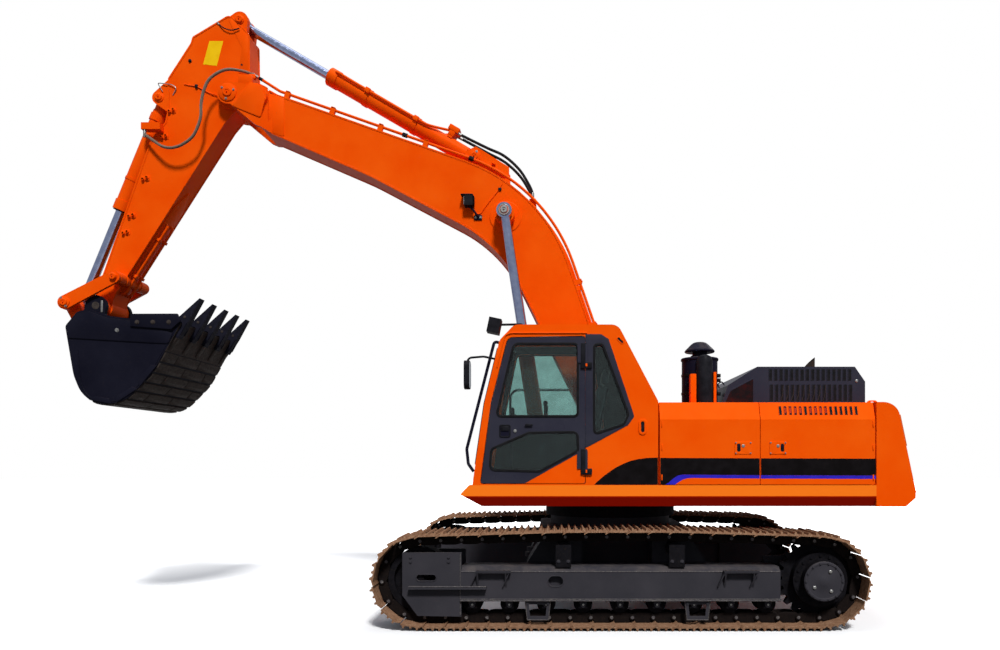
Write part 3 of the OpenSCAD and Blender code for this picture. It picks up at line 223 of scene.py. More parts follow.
def rounded_loop(corners, steps=6):
    """A closed outline [x, z, radius] in millimetres with its corners rounded by arcs."""
    loop = []
    for i, (x, z, radius) in enumerate(corners):
        p = Vector((x, z))
        a = (Vector(corners[i - 1][:2]) - p).normalized()
        b = (Vector(corners[(i + 1) % len(corners)][:2]) - p).normalized()
        if radius == 0:
            loop.append((x, z))
            continue
        half = a.angle(b) / 2
        centre = p + (a + b).normalized() * (radius / math.sin(half))
        start, end = p + a * (radius / math.tan(half)), p + b * (radius / math.tan(half))
        first = math.atan2(*(start - centre).yx)
        sweep = (math.atan2(*(end - centre).yx) - first + math.pi) % (2 * math.pi) - math.pi
        for k in range(steps + 1):
            angle = first + sweep * k / steps
            loop.append((centre.x + radius * math.cos(angle), centre.y + radius * math.sin(angle)))
    return loop


def rounded_rect(x0, z0, x1, z1, radius):
    """A closed upright rectangle [x, z] with its corners rounded."""
    return rounded_loop([[x0, z0, radius], [x1, z0, radius], [x1, z1, radius], [x0, z1, radius]])


def ring_of(x, z, radius, count):
    """Points evenly spaced on a circle round (x, z)."""
    turns = [2 * math.pi * i / count for i in range(count)]
    return [(x + radius * math.cos(a), z + radius * math.sin(a)) for a in turns]


def copies(name, master, places):
    """The master piece copied to each place, a matrix, and joined; the master goes."""
    parts = []
    for place in places:
        part = master.copy()
        part.data = master.data.copy()
        part.data.transform(place)
        bpy.context.scene.collection.objects.link(part)
        parts.append(part)
    bpy.data.objects.remove(master)
    return joined(name, parts)


def joined(name, parts):
    begin()
    for part in parts:
        part.select_set(True)
    bpy.context.view_layer.objects.active = parts[0]
    if len(parts) > 1:
        bpy.ops.object.join()
    piece = bpy.context.object
    piece.name = piece.data.name = name
    return piece


def mirrored(piece, name):
    """A copy on the other side of the machine's middle plane."""
    copy = piece.copy()
    copy.data = piece.data.copy()
    bpy.context.scene.collection.objects.link(copy)
    copy.data.transform(Matrix.Scale(-1, 4, (0, 1, 0)))
    copy.data.flip_normals()
    copy.name = copy.data.name = name
    return copy


# The material slot that each finish usually goes in
for slot_name, finishes in (
        ("black_plastic", "gasket_rubber moulded_plastic black_enamel lamp_lens silvered_glass "
                         "red_plastic cab_lining cab_trim grit_tape amber_lens red_lens"),
        ("door_paint", "charcoal_enamel"),
        ("body_paint", "orange_enamel black_vinyl boom_enamel yellow_vinyl heated_orange"),
        ("black_steel", "zinc_plate heated_steel black_bolts"),
        ("hose_rubber", "hose_rubber"),
        ("bucket_steel", "worn_steel bucket_paint"),
        ("running_gear", "chassis_enamel"),
        ("chassis_paint", "pale_grey_metal"),
        ("track_steel", "rusted_shoe_steel rusted_link_steel"),
        ("upholstery", "seat_cloth"),
        ("hood_paint", "recess_shade")):
    dict.fromkeys(finishes.split(), slot_name)


def fitted(piece, body, material, slot=None):
    """Gives a finished piece its material and its body; the slot is not used."""
    piece.data.materials.clear()
    piece.data.materials.append(material)
    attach(piece, body)
    return piece


def both(piece, body, material, slot=None):
    """A fitted piece and its mirror image."""
    other = mirrored(piece, piece.name + "_right")
    return fitted(piece, body, material, slot), fitted(other, body, material, slot)


# ---------- finishes ----------


def linear(hex_colour):
    """An sRGB hex colour as linear RGBA."""
    raw = [int(hex_colour[i : i + 2], 16) / 255 for i in (1, 3, 5)]
    return [c / 12.92 if c <= 0.04045 else ((c + 0.055) / 1.055) ** 2.4 for c in raw] + [1.0]


def add(tree, kind, settings=None, **inputs):
    """One node: its settings, then its inputs by name (spaces as _), each a value or an output."""
    item = tree.nodes.new("ShaderNode" + kind)
    for key, value in (settings or {}).items():
        setattr(item, key, value)
    for key, value in inputs.items():
        numbered = key[0] == "i" and key[1:].isdigit()
        socket = item.inputs[int(key[1:]) if numbered else key.replace("_", " ")]
        if isinstance(value, bpy.types.NodeSocket):
            tree.links.new(value, socket)
        else:
            socket.default_value = value
    return item


def surface(name):
    """A new material: its tree, its shader and the place on the machine as coordinates in metres."""
    material = bpy.data.materials.new(name)
    material.use_nodes = True
    tree = material.node_tree
    shader = tree.nodes["Principled BSDF"]
    coords = add(tree, "TexCoord").outputs["Object"]
    shader.inputs["Specular IOR Level"].default_value = 0.045
    return material, tree, shader, coords


def noise(tree, coords, size_mm, detail=3.0, roughness=0.55):
    """Cloudy variation whose patches are about size_mm across."""
    return add(tree, "TexNoise", Vector=coords, Scale=1000 / size_mm, Detail=detail,
               Roughness=roughness).outputs["Fac"]


def band(tree, value, low, high, to_low=0.0, to_high=1.0):
    """value stretched so that low..high becomes to_low..to_high, and held there."""
    return add(tree, "MapRange", {"clamp": True}, Value=value, From_Min=low, From_Max=high, To_Min=to_low,
               To_Max=to_high).outputs["Result"]


def blend_colour(tree, share, first, second):
    """One colour over another by a share; each a hex colour or an output."""
    mix = tree.nodes.new("ShaderNodeMix")
    mix.data_type = "RGBA"
    for socket, value in ((mix.inputs[0], share), (mix.inputs[6], first), (mix.inputs[7], second)):
        if isinstance(value, bpy.types.NodeSocket):
            tree.links.new(value, socket)
        else:
            socket.default_value = linear(value) if isinstance(value, str) else value
    return mix.outputs[2]


def times(tree, first, second, operation="MULTIPLY"):
    return add(tree, "Math", {"operation": operation, "use_clamp": True}, i0=first, i1=second).outputs[0]


def upward(tree):
    """How far a face looks up, where dust settles."""
    normal = add(tree, "NewGeometry").outputs["Normal"]
    z = add(tree, "SeparateXYZ", Vector=normal).outputs["Z"]
    return band(tree, z, 0.35, 0.95)


def height_share(tree, coords, low, high):
    """0 at height low and 1 at height high, in metres."""
    z = add(tree, "SeparateXYZ", Vector=coords).outputs["Z"]
    return band(tree, z, low, high)


def bump(tree, shader, height, depth_mm, strength=0.6):
    """Relief of about depth_mm on the surface."""
    relief = add(tree, "Bump", Strength=strength, Distance=depth_mm / 1000, Height=height)
    tree.links.new(relief.outputs["Normal"], shader.inputs["Normal"])


def enamel(name, colour, shade, dust="#B8A48C", dusty=0.16, gloss=(0.28, 0.42), chips=None, chip_size=60,
           painted_fold_shade=None, gleam=None):
    """Sprayed enamel on steel: orange peel 3 mm across, patches where it has faded, dust on top faces."""
    material, tree, shader, coords = surface(name)
    faded = band(tree, noise(tree, coords, 420, 4), 0.3, 0.72)
    paint = blend_colour(tree, faded, colour, shade)
    grime = times(tree, band(tree, noise(tree, coords, 130, 5, 0.65), 0.4, 0.75), upward(tree))
    streaks = band(tree, noise(tree, coords, 38, 6, 0.7), 0.58, 0.78, 0.0, dusty * 0.5)
    film = times(tree, times(tree, grime, dusty * 3), streaks, "ADD")
    paint = blend_colour(tree, film, paint, dust)
    if painted_fold_shade:
        # Painted shade and painted highlight of a folded plate: deep under the fold at that height, bright
        # over it
        low, high, fold = painted_fold_shade
        side = height_share(tree, coords, fold - 0.004, fold + 0.004)
        paint = blend_colour(tree, side, low, paint)
        paint = blend_colour(tree, times(tree, side, 0.75), paint, high)
    if chips:
        bare = band(tree, noise(tree, coords, chip_size, 8, 0.72), 0.69, 0.71)
        paint = blend_colour(tree, bare, paint, chips)
    tree.links.new(paint, shader.inputs["Base Color"])
    rough = band(tree, noise(tree, coords, 95, 4), 0.25, 0.75, *gloss)
    tree.links.new(rough, shader.inputs["Roughness"])
    if gleam:
        shader.inputs["Specular Tint"].default_value = linear(gleam)
    bump(tree, shader, noise(tree, coords, 5, 2), 0.25, 0.25)
    return material


def casting(name, colour, second, speck, rough=(0.55, 0.85), size=70, metallic=0.0, speck_share=(0.55, 0.75),
            grain_mm=6):
    """Cast or forged iron: a sandy skin, darker where grease holds dirt, flecks of the third colour."""
    material, tree, shader, coords = surface(name)
    body = blend_colour(tree, band(tree, noise(tree, coords, size, 5, 0.65), 0.35, 0.7), colour, second)
    flecks = band(tree, noise(tree, coords, size / 3, 8, 0.7), *speck_share)
    tree.links.new(blend_colour(tree, flecks, body, speck), shader.inputs["Base Color"])
    tree.links.new(band(tree, noise(tree, coords, size / 2, 4), 0.3, 0.7, *rough), shader.inputs["Roughness"])
    shader.inputs["Metallic"].default_value = metallic
    bump(tree, shader, noise(tree, coords, grain_mm, 3, 0.6), 0.8, 0.5)
    return material


def moulded(name, colour, second, rough=0.5, grain_mm=1.5, depth=0.15, sheen=0.0, size=60):
    """Moulded plastic or rubber: one colour with a faint bloom and a fine pebble grain."""
    material, tree, shader, coords = surface(name)
    bloom = band(tree, noise(tree, coords, size, 4), 0.35, 0.75)
    tree.links.new(blend_colour(tree, bloom, colour, second), shader.inputs["Base Color"])
    tree.links.new(band(tree, noise(tree, coords, size / 2, 3), 0.3, 0.7, rough - 0.08, rough + 0.08),
                   shader.inputs["Roughness"])
    shader.inputs["Sheen Weight"].default_value = sheen
    bump(tree, shader, noise(tree, coords, grain_mm, 2), depth, 0.4)
    return material


def vinyl(name, colour, second):
    """Cast vinyl film: smooth, a little duller than the enamel under it, with dust in its faint ripple."""
    material, tree, shader, coords = surface(name)
    tree.links.new(blend_colour(tree, band(tree, noise(tree, coords, 90, 4), 0.4, 0.8), colour, second),
                   shader.inputs["Base Color"])
    tree.links.new(band(tree, noise(tree, coords, 60, 3), 0.3, 0.7, 0.3, 0.45), shader.inputs["Roughness"])
    bump(tree, shader, noise(tree, coords, 25, 2), 0.2, 0.2)
    return material


# Body enamel: warm and glossy, a little lighter where the sun has faded it
orange_enamel = enamel("orange_enamel", "#F25002", "#F65C0A", dusty=0.05, gleam="#FF7028")
# Skirts: painted light across the fold, the plate above it painted bright as if it caught the sky, the one
# under it painted deep as if in its own shade
skirt_enamel = enamel("skirt_enamel", "#F25002", "#F65C0A", dusty=0.05, painted_fold_shade=("#A01602", "#FF8420", 1.368),
                      gleam="#FF7028")
# The same enamel on boom and arm, scuffed, with pin-head chips down to grey primer
boom_enamel = enamel("boom_enamel", "#EE4C02", "#F45A0A", dusty=0.07, gleam="#FF6820", chips="#8A5A40",
                     chip_size=34)
# Door, hood and quarter panel: cool charcoal enamel that mirrors the sky softly
charcoal_enamel = enamel("charcoal_enamel", "#2B2B38", "#34343F", dusty=0.05, gloss=(0.24, 0.36))
# Chassis paint: satin grey-black, dusty along its ledges
chassis_enamel = enamel("chassis_enamel", "#323136", "#3C3A3F", dust="#7C7068", dusty=0.12,
                        gloss=(0.45, 0.65))
# Satin black on the air cleaner, brackets and steps
black_enamel = enamel("black_enamel", "#121120", "#1B1A2A", dusty=0.06, gloss=(0.3, 0.48))
# Bucket: blue-black paint rubbed thin by soil, brown where it has gone
bucket_paint = enamel("bucket_paint", "#0E0E1A", "#181824", dust="#6E5F54", dusty=0.12, gloss=(0.4, 0.6),
                      chips="#382E2C", chip_size=55)
# Castings that carry the track: black with old grease, grey dust on the dry patches
greased_iron = casting("greased_iron", "#0E0D10", "#19181C", "#2C2622")
# Rolled shoe steel after a season of damp ground: tan rust over brown, darker in the pits
rusted_shoe_steel = casting("rusted_shoe_steel", "#98745A", "#74523C", "#C2A88C", (0.6, 0.9), 48, 0.0,
                            (0.56, 0.7), 5)
# Link and grouser steel: darker rust with greasy black
rusted_link_steel = casting("rusted_link_steel", "#1C1614", "#120F0F", "#33261F", (0.6, 0.9), 45, 0.0,
                            (0.58, 0.72), 5)
# Wear steel rubbed by soil: brown-grey, with bright scrapes
worn_steel = casting("worn_steel", "#453E3A", "#332D2B", "#6A6058", (0.5, 0.75), 40, 0.1, (0.6, 0.75), 4)
# Tooth steel: forged, blue-black with a scraped brown point
tooth_steel = casting("tooth_steel", "#1E1E2A", "#16161E", "#3E3A38", (0.5, 0.75), 40, 0.1, (0.6, 0.75), 4)
# Engine iron in machinery grey
engine_iron = casting("engine_iron", "#3C3D42", "#2C2D31", "#55534E")
# Exhaust steel: heat-dulled black with brown bloom at its mouth
heated_steel = casting("heated_steel", "#2A2626", "#3E322C", "#5A4638", (0.5, 0.75), 50, 0.4)
# Zinc-plated fasteners and clamps: dull silver
zinc_plate = casting("zinc_plate", "#9A9A98", "#7E7C78", "#B0AEAA", (0.35, 0.5), 20, 0.8, (0.6, 0.8), 2)
# Black-oxide bolts: near black, waxy
black_bolts = casting("black_bolts", "#1A1A1D", "#26262A", "#3C3834", (0.4, 0.6), 18, 0.5, (0.6, 0.8), 2)
# Glass gaskets: EPDM rubber, dead black with a grey bloom; the same black is painted shade in the vent mouths
# and the lug's bore
gasket_rubber = moulded("gasket_rubber", "#101012", "#1E1E20", 0.62, 2.0, 0.1, 0.1)
# Hydraulic hose cover: black rubber with wrapped-cloth grain
hose_rubber = moulded("hose_rubber", "#151517", "#232224", 0.55, 2.5, 0.2, 0.1)
# Woven nylon sleeve over the arm's hoses: brown-grey, with a visible weave
hose_sleeve = moulded("hose_sleeve", "#6A5A4E", "#7C6C5E", 0.75, 3.0, 0.6, 0.3, 25)
# Moulded plastic of consoles, lamps and mirror: soft black with pebble grain; the same black is painted shade
# inside the grab slot and the vent slot
moulded_plastic = moulded("moulded_plastic", "#16161A", "#222227", 0.5)
# Cab trim panels: mid grey moulded plastic
cab_trim = moulded("cab_trim", "#5A5C62", "#6A6C70", 0.6, 2.0)
# Cab lining under the windows: dark grey needle felt on board
cab_lining = moulded("cab_lining", "#16181A", "#1E2022", 0.85, 3.0, 0.3, 0.2)
# Anti-slip tape and tread plate: coarse grit in dark resin
grit_tape = moulded("grit_tape", "#202023", "#34332F", 0.85, 2.5, 0.9)
# Red knob plastic
red_plastic = moulded("red_plastic", "#C8201A", "#B01812", 0.35)
black_vinyl = vinyl("black_vinyl", "#0D0A0B", "#171416")
blue_vinyl = vinyl("blue_vinyl", "#2A22B4", "#342CBE")
yellow_vinyl = vinyl("yellow_vinyl", "#F0C012", "#E6B40A")
# Orange darkened as painted shade, for the baffle in the shadow behind the vents
heated_orange = vinyl("heated_orange", "#B02C04", "#8A1C04")
# Painted shade of the hood's recessed front corner, with a painted warm reflection of the panels near it
recess_shade = vinyl("recess_shade", "#1A1416", "#401412")
# Light grey along the edges of the chassis and on the ends of the track pins
pale_grey_metal = casting("pale_grey_metal", "#5E5A58", "#46434A", "#8A8680", (0.4, 0.6), 60, 0.2, (0.5, 0.75), 4)


def make_tinted_glass():
    """Toughened cab glass: clear with a green cast, a soft sky gloss and a trace of dust."""
    material, tree, shader, coords = surface("tinted_glass")
    haze = band(tree, noise(tree, coords, 160, 4), 0.35, 0.8)
    tree.links.new(blend_colour(tree, haze, "#A8C6C2", "#98B4B0"), shader.inputs["Base Color"])
    tree.links.new(band(tree, noise(tree, coords, 90, 5), 0.45, 0.8, 0.02, 0.1), shader.inputs["Roughness"])
    shader.inputs["IOR"].default_value = 1.45
    shader.inputs["Transmission Weight"].default_value = 1.0
    return material


def make_hard_chrome():
    """Ground and plated rod: mirror bright, with grinding rings drawn 4 mm apart and an oil film."""
    material, tree, shader, coords = surface("hard_chrome")
    film = band(tree, noise(tree, coords, 60, 4), 0.4, 0.75)
    tree.links.new(blend_colour(tree, film, "#AAB4D2", "#8E98BC"), shader.inputs["Base Color"])
    tree.links.new(band(tree, noise(tree, coords, 30, 5), 0.35, 0.75, 0.12, 0.28), shader.inputs["Roughness"])
    shader.inputs["Metallic"].default_value = 1.0
    bump(tree, shader, noise(tree, coords, 4, 2), 0.05, 0.2)
    return material


def make_seat_cloth():
    """Woven polyester seat cover: charcoal, 4 mm weave drawn at 8 mm so that it shows, with a soft sheen."""
    material, tree, shader, coords = surface("seat_cloth")
    weave = add(tree, "TexWave", {"bands_direction": "X"}, Vector=coords, Scale=60.0, Distortion=0.4)
    across = add(tree, "TexWave", {"bands_direction": "Z"}, Vector=coords, Scale=60.0, Distortion=0.4)
    cloth = times(tree, weave.outputs["Fac"], across.outputs["Fac"])
    fade = band(tree, noise(tree, coords, 90, 3), 0.35, 0.75)
    body = blend_colour(tree, fade, "#2A2A2E", "#38383C")
    tree.links.new(blend_colour(tree, times(tree, cloth, 0.5), body, "#55555A"), shader.inputs["Base Color"])
    shader.inputs["Roughness"].default_value = 0.9
    shader.inputs["Sheen Weight"].default_value = 0.35
    bump(tree, shader, cloth, 0.8, 0.5)
    return material


def reflector(name, colour, second):
    """Moulded acrylic lens with 6 mm prisms behind a smooth face."""
    material, tree, shader, coords = surface(name)
    cells = add(tree, "TexVoronoi", Vector=coords, Scale=160.0).outputs["Distance"]
    tree.links.new(blend_colour(tree, band(tree, cells, 0.1, 0.6), colour, second),
                   shader.inputs["Base Color"])
    shader.inputs["Roughness"].default_value = 0.12
    shader.inputs["Coat Weight"].default_value = 0.6
    bump(tree, shader, cells, 0.6, 0.4)
    return material


def make_silvered_glass():
    """Mirror glass: a silver back with a little dust."""
    material, tree, shader, coords = surface("silvered_glass")
    tree.links.new(blend_colour(tree, band(tree, noise(tree, coords, 40, 4), 0.45, 0.8), "#C8CED0",
                                "#A8AAA8"),
                   shader.inputs["Base Color"])
    tree.links.new(band(tree, noise(tree, coords, 50, 4), 0.4, 0.8, 0.03, 0.2), shader.inputs["Roughness"])
    shader.inputs["Metallic"].default_value = 1.0
    return material


tinted_glass = make_tinted_glass()
hard_chrome = make_hard_chrome()
seat_cloth = make_seat_cloth()
silvered_glass = make_silvered_glass()
amber_lens = reflector("amber_lens", "#E88A10", "#B85C08")
lamp_lens = reflector("lamp_lens", "#C8CCC8", "#8C9090")
red_lens = reflector("red_lens", "#C01810", "#7A0C08")

finish_of = {}
for finish, covered in (
        (chassis_enamel, "lower_frame track_frames"),
        (rusted_link_steel, "track_left track_right"),
        (greased_iron, "idlers sprockets track_rollers carrier_rollers slew_ring"),
        (orange_enamel, "deck_frame cab_frame house_frame counterweight fuel_tank hydraulic_tank "
                       "tool_box left_front_door left_rear_door right_door"),
        (skirt_enamel, "side_skirts"),
        (tinted_glass, "cab_glass door_glass"),
        (seat_cloth, "operator_seat"),
        (moulded_plastic, "cab_console cab_mirror cab_lamp boom_lamp"),
        (black_enamel, "cab_guard_rail air_cleaner deck_rails"),
        (engine_iron, "engine_block"),
        (charcoal_enamel, "cab_door engine_hood"),
        (heated_steel, "exhaust_pipe"),
        (boom_enamel, "boom boom_pipes boom_barrels arm arm_pipes arm_barrel bucket_barrel "
                     "rocker_links bucket_link"),
        (hose_rubber, "arm_cylinder_hoses"),
        (hose_sleeve, "arm_hoses"),
        (hard_chrome, "boom_rods arm_rod bucket_rod"),
        (bucket_paint, "bucket"),
        (tooth_steel, "bucket_teeth")):
    finish_of.update(dict.fromkeys(covered.split(), finish))
for name, node in nodes.items():
    node.data.materials.clear()
    node.data.materials.append(finish_of[name])

# ---------- tracks ----------

TRACK_Y = 1340
SHOE_WIDTH = 600
SHOES = 50
WHEELBASE = 4140
WHEEL_RADIUS = 395
PIN_HEIGHT = 108  # of the lower run's pins over the ground
CARRIER_X = 583
CARRIER_LIFT = 45
AXLE_Z = WHEEL_RADIUS + PIN_HEIGHT

climb_rise = WHEEL_RADIUS + CARRIER_LIFT
climb_base = WHEELBASE / 2 - CARRIER_X
climb_reach = math.hypot(climb_base, climb_rise)
climb_angle = math.atan2(climb_rise, climb_base) - math.asin(WHEEL_RADIUS / climb_reach)
climb_length = math.sqrt(climb_reach**2 - WHEEL_RADIUS**2)
wrap_length = WHEEL_RADIUS * (math.pi - climb_angle)
leg_ends = [WHEELBASE]
for leg in (wrap_length, climb_length, 2 * CARRIER_X, climb_length, wrap_length):
    leg_ends.append(leg_ends[-1] + leg)


def pin_place(s):
    """Where the pin line runs, s millimetres along it: lower run, idler, climb, level, descent, sprocket."""
    half, top = WHEELBASE / 2, AXLE_Z + climb_rise
    cos, sin = math.cos(climb_angle), math.sin(climb_angle)
    if s < leg_ends[0]:
        return Vector((half - s, PIN_HEIGHT))
    if s < leg_ends[1]:
        a = -math.pi / 2 - (s - leg_ends[0]) / WHEEL_RADIUS
        return Vector((-half + WHEEL_RADIUS * math.cos(a), AXLE_Z + WHEEL_RADIUS * math.sin(a)))
    if s < leg_ends[2]:
        t = leg_ends[2] - s
        return Vector((-CARRIER_X - t * cos, top - t * sin))
    if s < leg_ends[3]:
        return Vector((-CARRIER_X + s - leg_ends[2], top))
    if s < leg_ends[4]:
        t = s - leg_ends[3]
        return Vector((CARRIER_X + t * cos, top - t * sin))
    a = math.pi / 2 - climb_angle - (s - leg_ends[4]) / WHEEL_RADIUS
    return Vector((half + WHEEL_RADIUS * math.cos(a), AXLE_Z + WHEEL_RADIUS * math.sin(a)))


track_pins = [pin_place(leg_ends[5] * i / SHOES) for i in range(SHOES)]


def shoe_places(y):
    """For each shoe, the matrix from its own frame: along from its pin, across, and out from the pin line."""
    places = []
    for i, pin in enumerate(track_pins):
        along = track_pins[(i + 1) % SHOES] - pin
        stretch = along.length / shoe_pitch
        u = along.normalized()
        out = Vector((-u.y, u.x))
        origin = at(pin.x, y, pin.y)
        places.append(Matrix(((u.x * stretch, 0, out.x, origin.x), (0, 1, 0, origin.y),
                              (u.y * stretch, 0, out.y, origin.z), (0, 0, 0, 1))))
    return places


shoe_pitch = leg_ends[5] / SHOES
mm = 0.001
# Profile of the rolled plate with its three grousers: [along, out from the pin line]
shoe_profile = [
    (-26, 38), (-26, 50), (2, 67), (10, 75), (24, 76), (29, 101), (34, 105), (42, 105), (47, 101), (53, 76),
    (92, 75), (98, 97),
    (114, 97), (121, 75), (166, 76), (172, 101), (177, 105), (185, 105), (190, 101), (196, 76), (211, 74),
    (211, 60), (14, 60), (4, 56),
]


def shoe_master():
    """One rolled shoe plate, its ends sheared square and its corners clipped."""
    half = SHOE_WIDTH / 2 * mm
    piece = sheet_metal("shoe", [Vector((a * mm, -half, h * mm)) for a, h in shoe_profile], (0, 2 * half, 0))
    choose(piece)
    bpy.ops.object.mode_set(mode="EDIT")
    # The grousers' tips are worn back at both ends
    shape = bmesh.from_edit_mesh(piece.data)
    for vertex in shape.verts:
        if vertex.co.z > 90 * mm:
            vertex.co.y *= 0.965
    bmesh.update_edit_mesh(piece.data)
    begin()
    return piece


def link_master():
    """The pair of forged links under a shoe, with pin boss and bushing."""
    parts = []
    for side in (-1, 1):
        rail = [(-20, -14), (10, -44), (60, -48), (150, -48), (196, -40), (226, -12), (226, 14), (196, 34),
                (176, 57),
                (30, 57), (6, 34), (-20, 14)]
        low, high = sorted((side * 60 * mm, side * 104 * mm))
        parts.append(sheet_metal("rail", [Vector((a * mm, low, h * mm)) for a, h in rail], (0, high - low, 0),
                                 bevel=0.004, segments=1))
        parts.append(drum("boss", Vector((0, side * 104 * mm, 0)), Vector((0, side * 122 * mm, 0)), 0.031,
                          sides=14,
                          bevel=0.003))
    parts.append(drum("bushing", Vector((0, -0.062, 0)), Vector((0, 0.062, 0)), 0.033, sides=14))
    return joined("link", parts)


def bolt_master():
    """Four shoe bolts: hexagon heads on the plate between the grousers."""
    parts = []
    for along in (72, 143):
        for side in (-1, 1):
            y = side * 82 * mm
            parts.append(drum("bolt", Vector((along * mm, y, 0.074)), Vector((along * mm, y, 0.088)), 0.016,
                              0.0145,
                              sides=6))
    return joined("bolts", parts)


def pin_master():
    """The two ends of a track pin, rubbed bright."""
    return joined("pins",
                  [drum("pin", Vector((0, side * 121 * mm, 0)), Vector((0, side * 126 * mm, 0)), 0.017,
                        sides=12)
                           for side in (-1, 1)])


for name, side in (("track_left", -1), ("track_right", 1)):
    places = shoe_places(side * TRACK_Y)
    shoes = fitted(copies(name + "_shoes", shoe_master(), places), "undercarriage", rusted_shoe_steel)
    links = fitted(copies(name + "_links", link_master(), places), "undercarriage", rusted_link_steel)
    heads = fitted(copies(name + "_bolts", bolt_master(), places), "undercarriage", rusted_link_steel)
    pins = fitted(copies(name + "_pins", pin_master(), places), "undercarriage", pale_grey_metal, "track_steel")
    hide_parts(name)

# ---------- cab ----------

CAB_LEFT = -1490
CAB_RIGHT = -545
CAB_TOP = 3140
DECK_TOP = 1480


def inset_loop(loop, distance):
    """A closed outline [x, z] moved inwards by distance, or outwards if it is negative."""
    area = sum(a[0] * b[1] - b[0] * a[1] for a, b in zip(loop, loop[1:] + loop[:1]))
    sign = 1 if area > 0 else -1
    moved = []
    for i, p in enumerate(loop):
        before, after = Vector(loop[i - 1]), Vector(loop[(i + 1) % len(loop)])
        here = Vector(p)
        a, b = (here - before), (after - here)
        if a.length < 1e-6 or b.length < 1e-6:
            continue
        n = (a.normalized() + b.normalized()).normalized()
        moved.append((here.x - sign * n.y * distance, here.y + sign * n.x * distance))
    return moved


def framed_plate(name, outer, inner, y0, y1, bevel=0.0):
    """A plate of the side view with a hole: two outlines bridged, then given its thickness."""
    rings = [outline("ring", [side_point(p, y0) for p in loop], filled=False) for loop in (outer, inner)]
    piece = joined(name, rings)
    edit(piece)
    bpy.ops.mesh.bridge_edge_loops()
    bpy.ops.mesh.select_all(action="SELECT")
    bpy.ops.mesh.extrude_region_move(TRANSFORM_OT_translate={"value": (0, (y1 - y0) / 1000, 0)})
    face_out()
    return rounded_edges(piece, bevel)


def gasket(name, loop, y):
    """A rubber glazing bead round an opening: a flat lip with a rounded edge."""
    width = 22
    return framed_plate(name, inset_loop(loop, -width * 0.75), inset_loop(loop, width * 0.45), y - 7, y + 14,
                        0.005)


def bolt_head(radius):
    """A hexagon head on its washer, standing on z = 0."""
    height = 0.009
    washer = drum("washer", Vector((0, 0, -0.001)), Vector((0, 0, 0.0025)), radius * 1.35, sides=16)
    head = drum("head", Vector((0, 0, 0.002)), Vector((0, 0, 0.002 + height)), radius, radius * 0.93, sides=6)
    return joined("bolt", [washer, head])


FACING = {
    "left": Matrix.Rotation(math.radians(90), 4, "X"),
    "right": Matrix.Rotation(math.radians(-90), 4, "X"),
    "front": Matrix.Rotation(math.radians(-90), 4, "Y"),
    "rear": Matrix.Rotation(math.radians(90), 4, "Y"),
    "up": Matrix(),
    "down": Matrix.Rotation(math.radians(180), 4, "X"),
}


def bolts(name, places, body, facing="left", radius=0.014, material=None, slot="chassis_paint"):
    """Bolt heads at places in millimetres, all facing one way."""
    turn = FACING[facing]
    spots = [Matrix.Translation(at(*p)) @ turn for p in places]
    return fitted(copies(name, bolt_head(radius), spots), body, material or black_bolts, slot)


door_window = rounded_loop([[-1272, 2195, 40], [-437, 2195, 40], [-437, 2938, 40], [-1093, 2938, 60]])
door_low_window = rounded_loop([[-1340, 1640, 50], [-830, 1627, 40], [-432, 1840, 40], [-440, 2025, 50],
                                [-940, 2018, 60], [-1325, 1850, 40]])
quarter_window = rounded_loop([[-262, 2010, 30], [40, 2110, 60], [86, 2215, 40], [-180, 2930, 30],
                               [-262, 2930, 30]])
far_window = rounded_loop([[-1290, 2060, 40], [-100, 2060, 60], [-240, 2950, 60], [-1110, 2950, 60]])
quarter_panel = rounded_loop([[-357, 1862, 12], [84, 2100, 46], [150, 2190, 46], [-116, 2990, 40],
                              [-195, 3040, 30],
                              [-357, 3040, 12]])

fitted(gasket("door_window_gasket", door_window, CAB_LEFT), "door", gasket_rubber)
fitted(gasket("door_lower_gasket", door_low_window, CAB_LEFT), "door", gasket_rubber)
fitted(gasket("quarter_window_gasket", quarter_window, CAB_LEFT - 3), "upper", gasket_rubber)
fitted(gasket("far_window_gasket", far_window, CAB_RIGHT - 6), "upper", gasket_rubber)
fitted(framed_plate("quarter_panel", quarter_panel, quarter_window, CAB_LEFT - 4, CAB_LEFT + 1, 0.002),
       "upper",
       charcoal_enamel)

# The door's rear lower corner is sprayed body colour up to a slanting line
door_corner = [(-359, 1846), (-978, 1499), (-378, 1499), (-364, 1504), (-359, 1518)]
fitted(side_plate("door_corner_paint", door_corner, CAB_LEFT - 0.9, CAB_LEFT + 1), "door", orange_enamel)
# Pressed swage along the slanting line
fitted(tube("door_swage", [at(-359, -1490, 1850), at(-980, -1490, 1502)], 0.007), "door", charcoal_enamel)

base_curve = [(-267, 1484), (-232, 1519), (-190, 1555), (-140, 1594), (-81, 1637), (-20, 1675), (45, 1706),
              (115, 1733),
              (190, 1750), (280, 1761), (393, 1766), (393, 1484)]
fitted(side_plate("cab_base_film", base_curve, CAB_LEFT - 0.8, CAB_LEFT + 1), "upper", black_vinyl)

# Door handle: a dished escutcheon with its paddle, the lock beside it, the catch lever behind
dish = rounded_rect(-1246, 1974, -1128, 2106, 22)
fitted(framed_plate("handle_escutcheon", dish, inset_loop(dish, 14), -1499, -1489, 0.003), "door",
       moulded_plastic)
fitted(side_plate("handle_dish", inset_loop(dish, 12), -1491, -1489), "door", black_enamel)
fitted(block("handle_paddle", at(-1228, -1503, 2040), at(-1146, -1491, 2090), 0.006), "door", moulded_plastic)
fitted(drum("door_lock", at(-1082, -1490, 2040), at(-1082, -1499, 2040), 0.018, 0.016, 24, 0.002), "door",
       zinc_plate,
       "black_plastic")
lever = joined("door_catch_lever", [
    drum("boss", at(-962, -1490, 2100), at(-962, -1508, 2100), 0.016, sides=20, bevel=0.002),
    block("grip", at(-980, -1512, 2090), at(-900, -1504, 2110), 0.004)])
fitted(lever, "door", moulded_plastic)

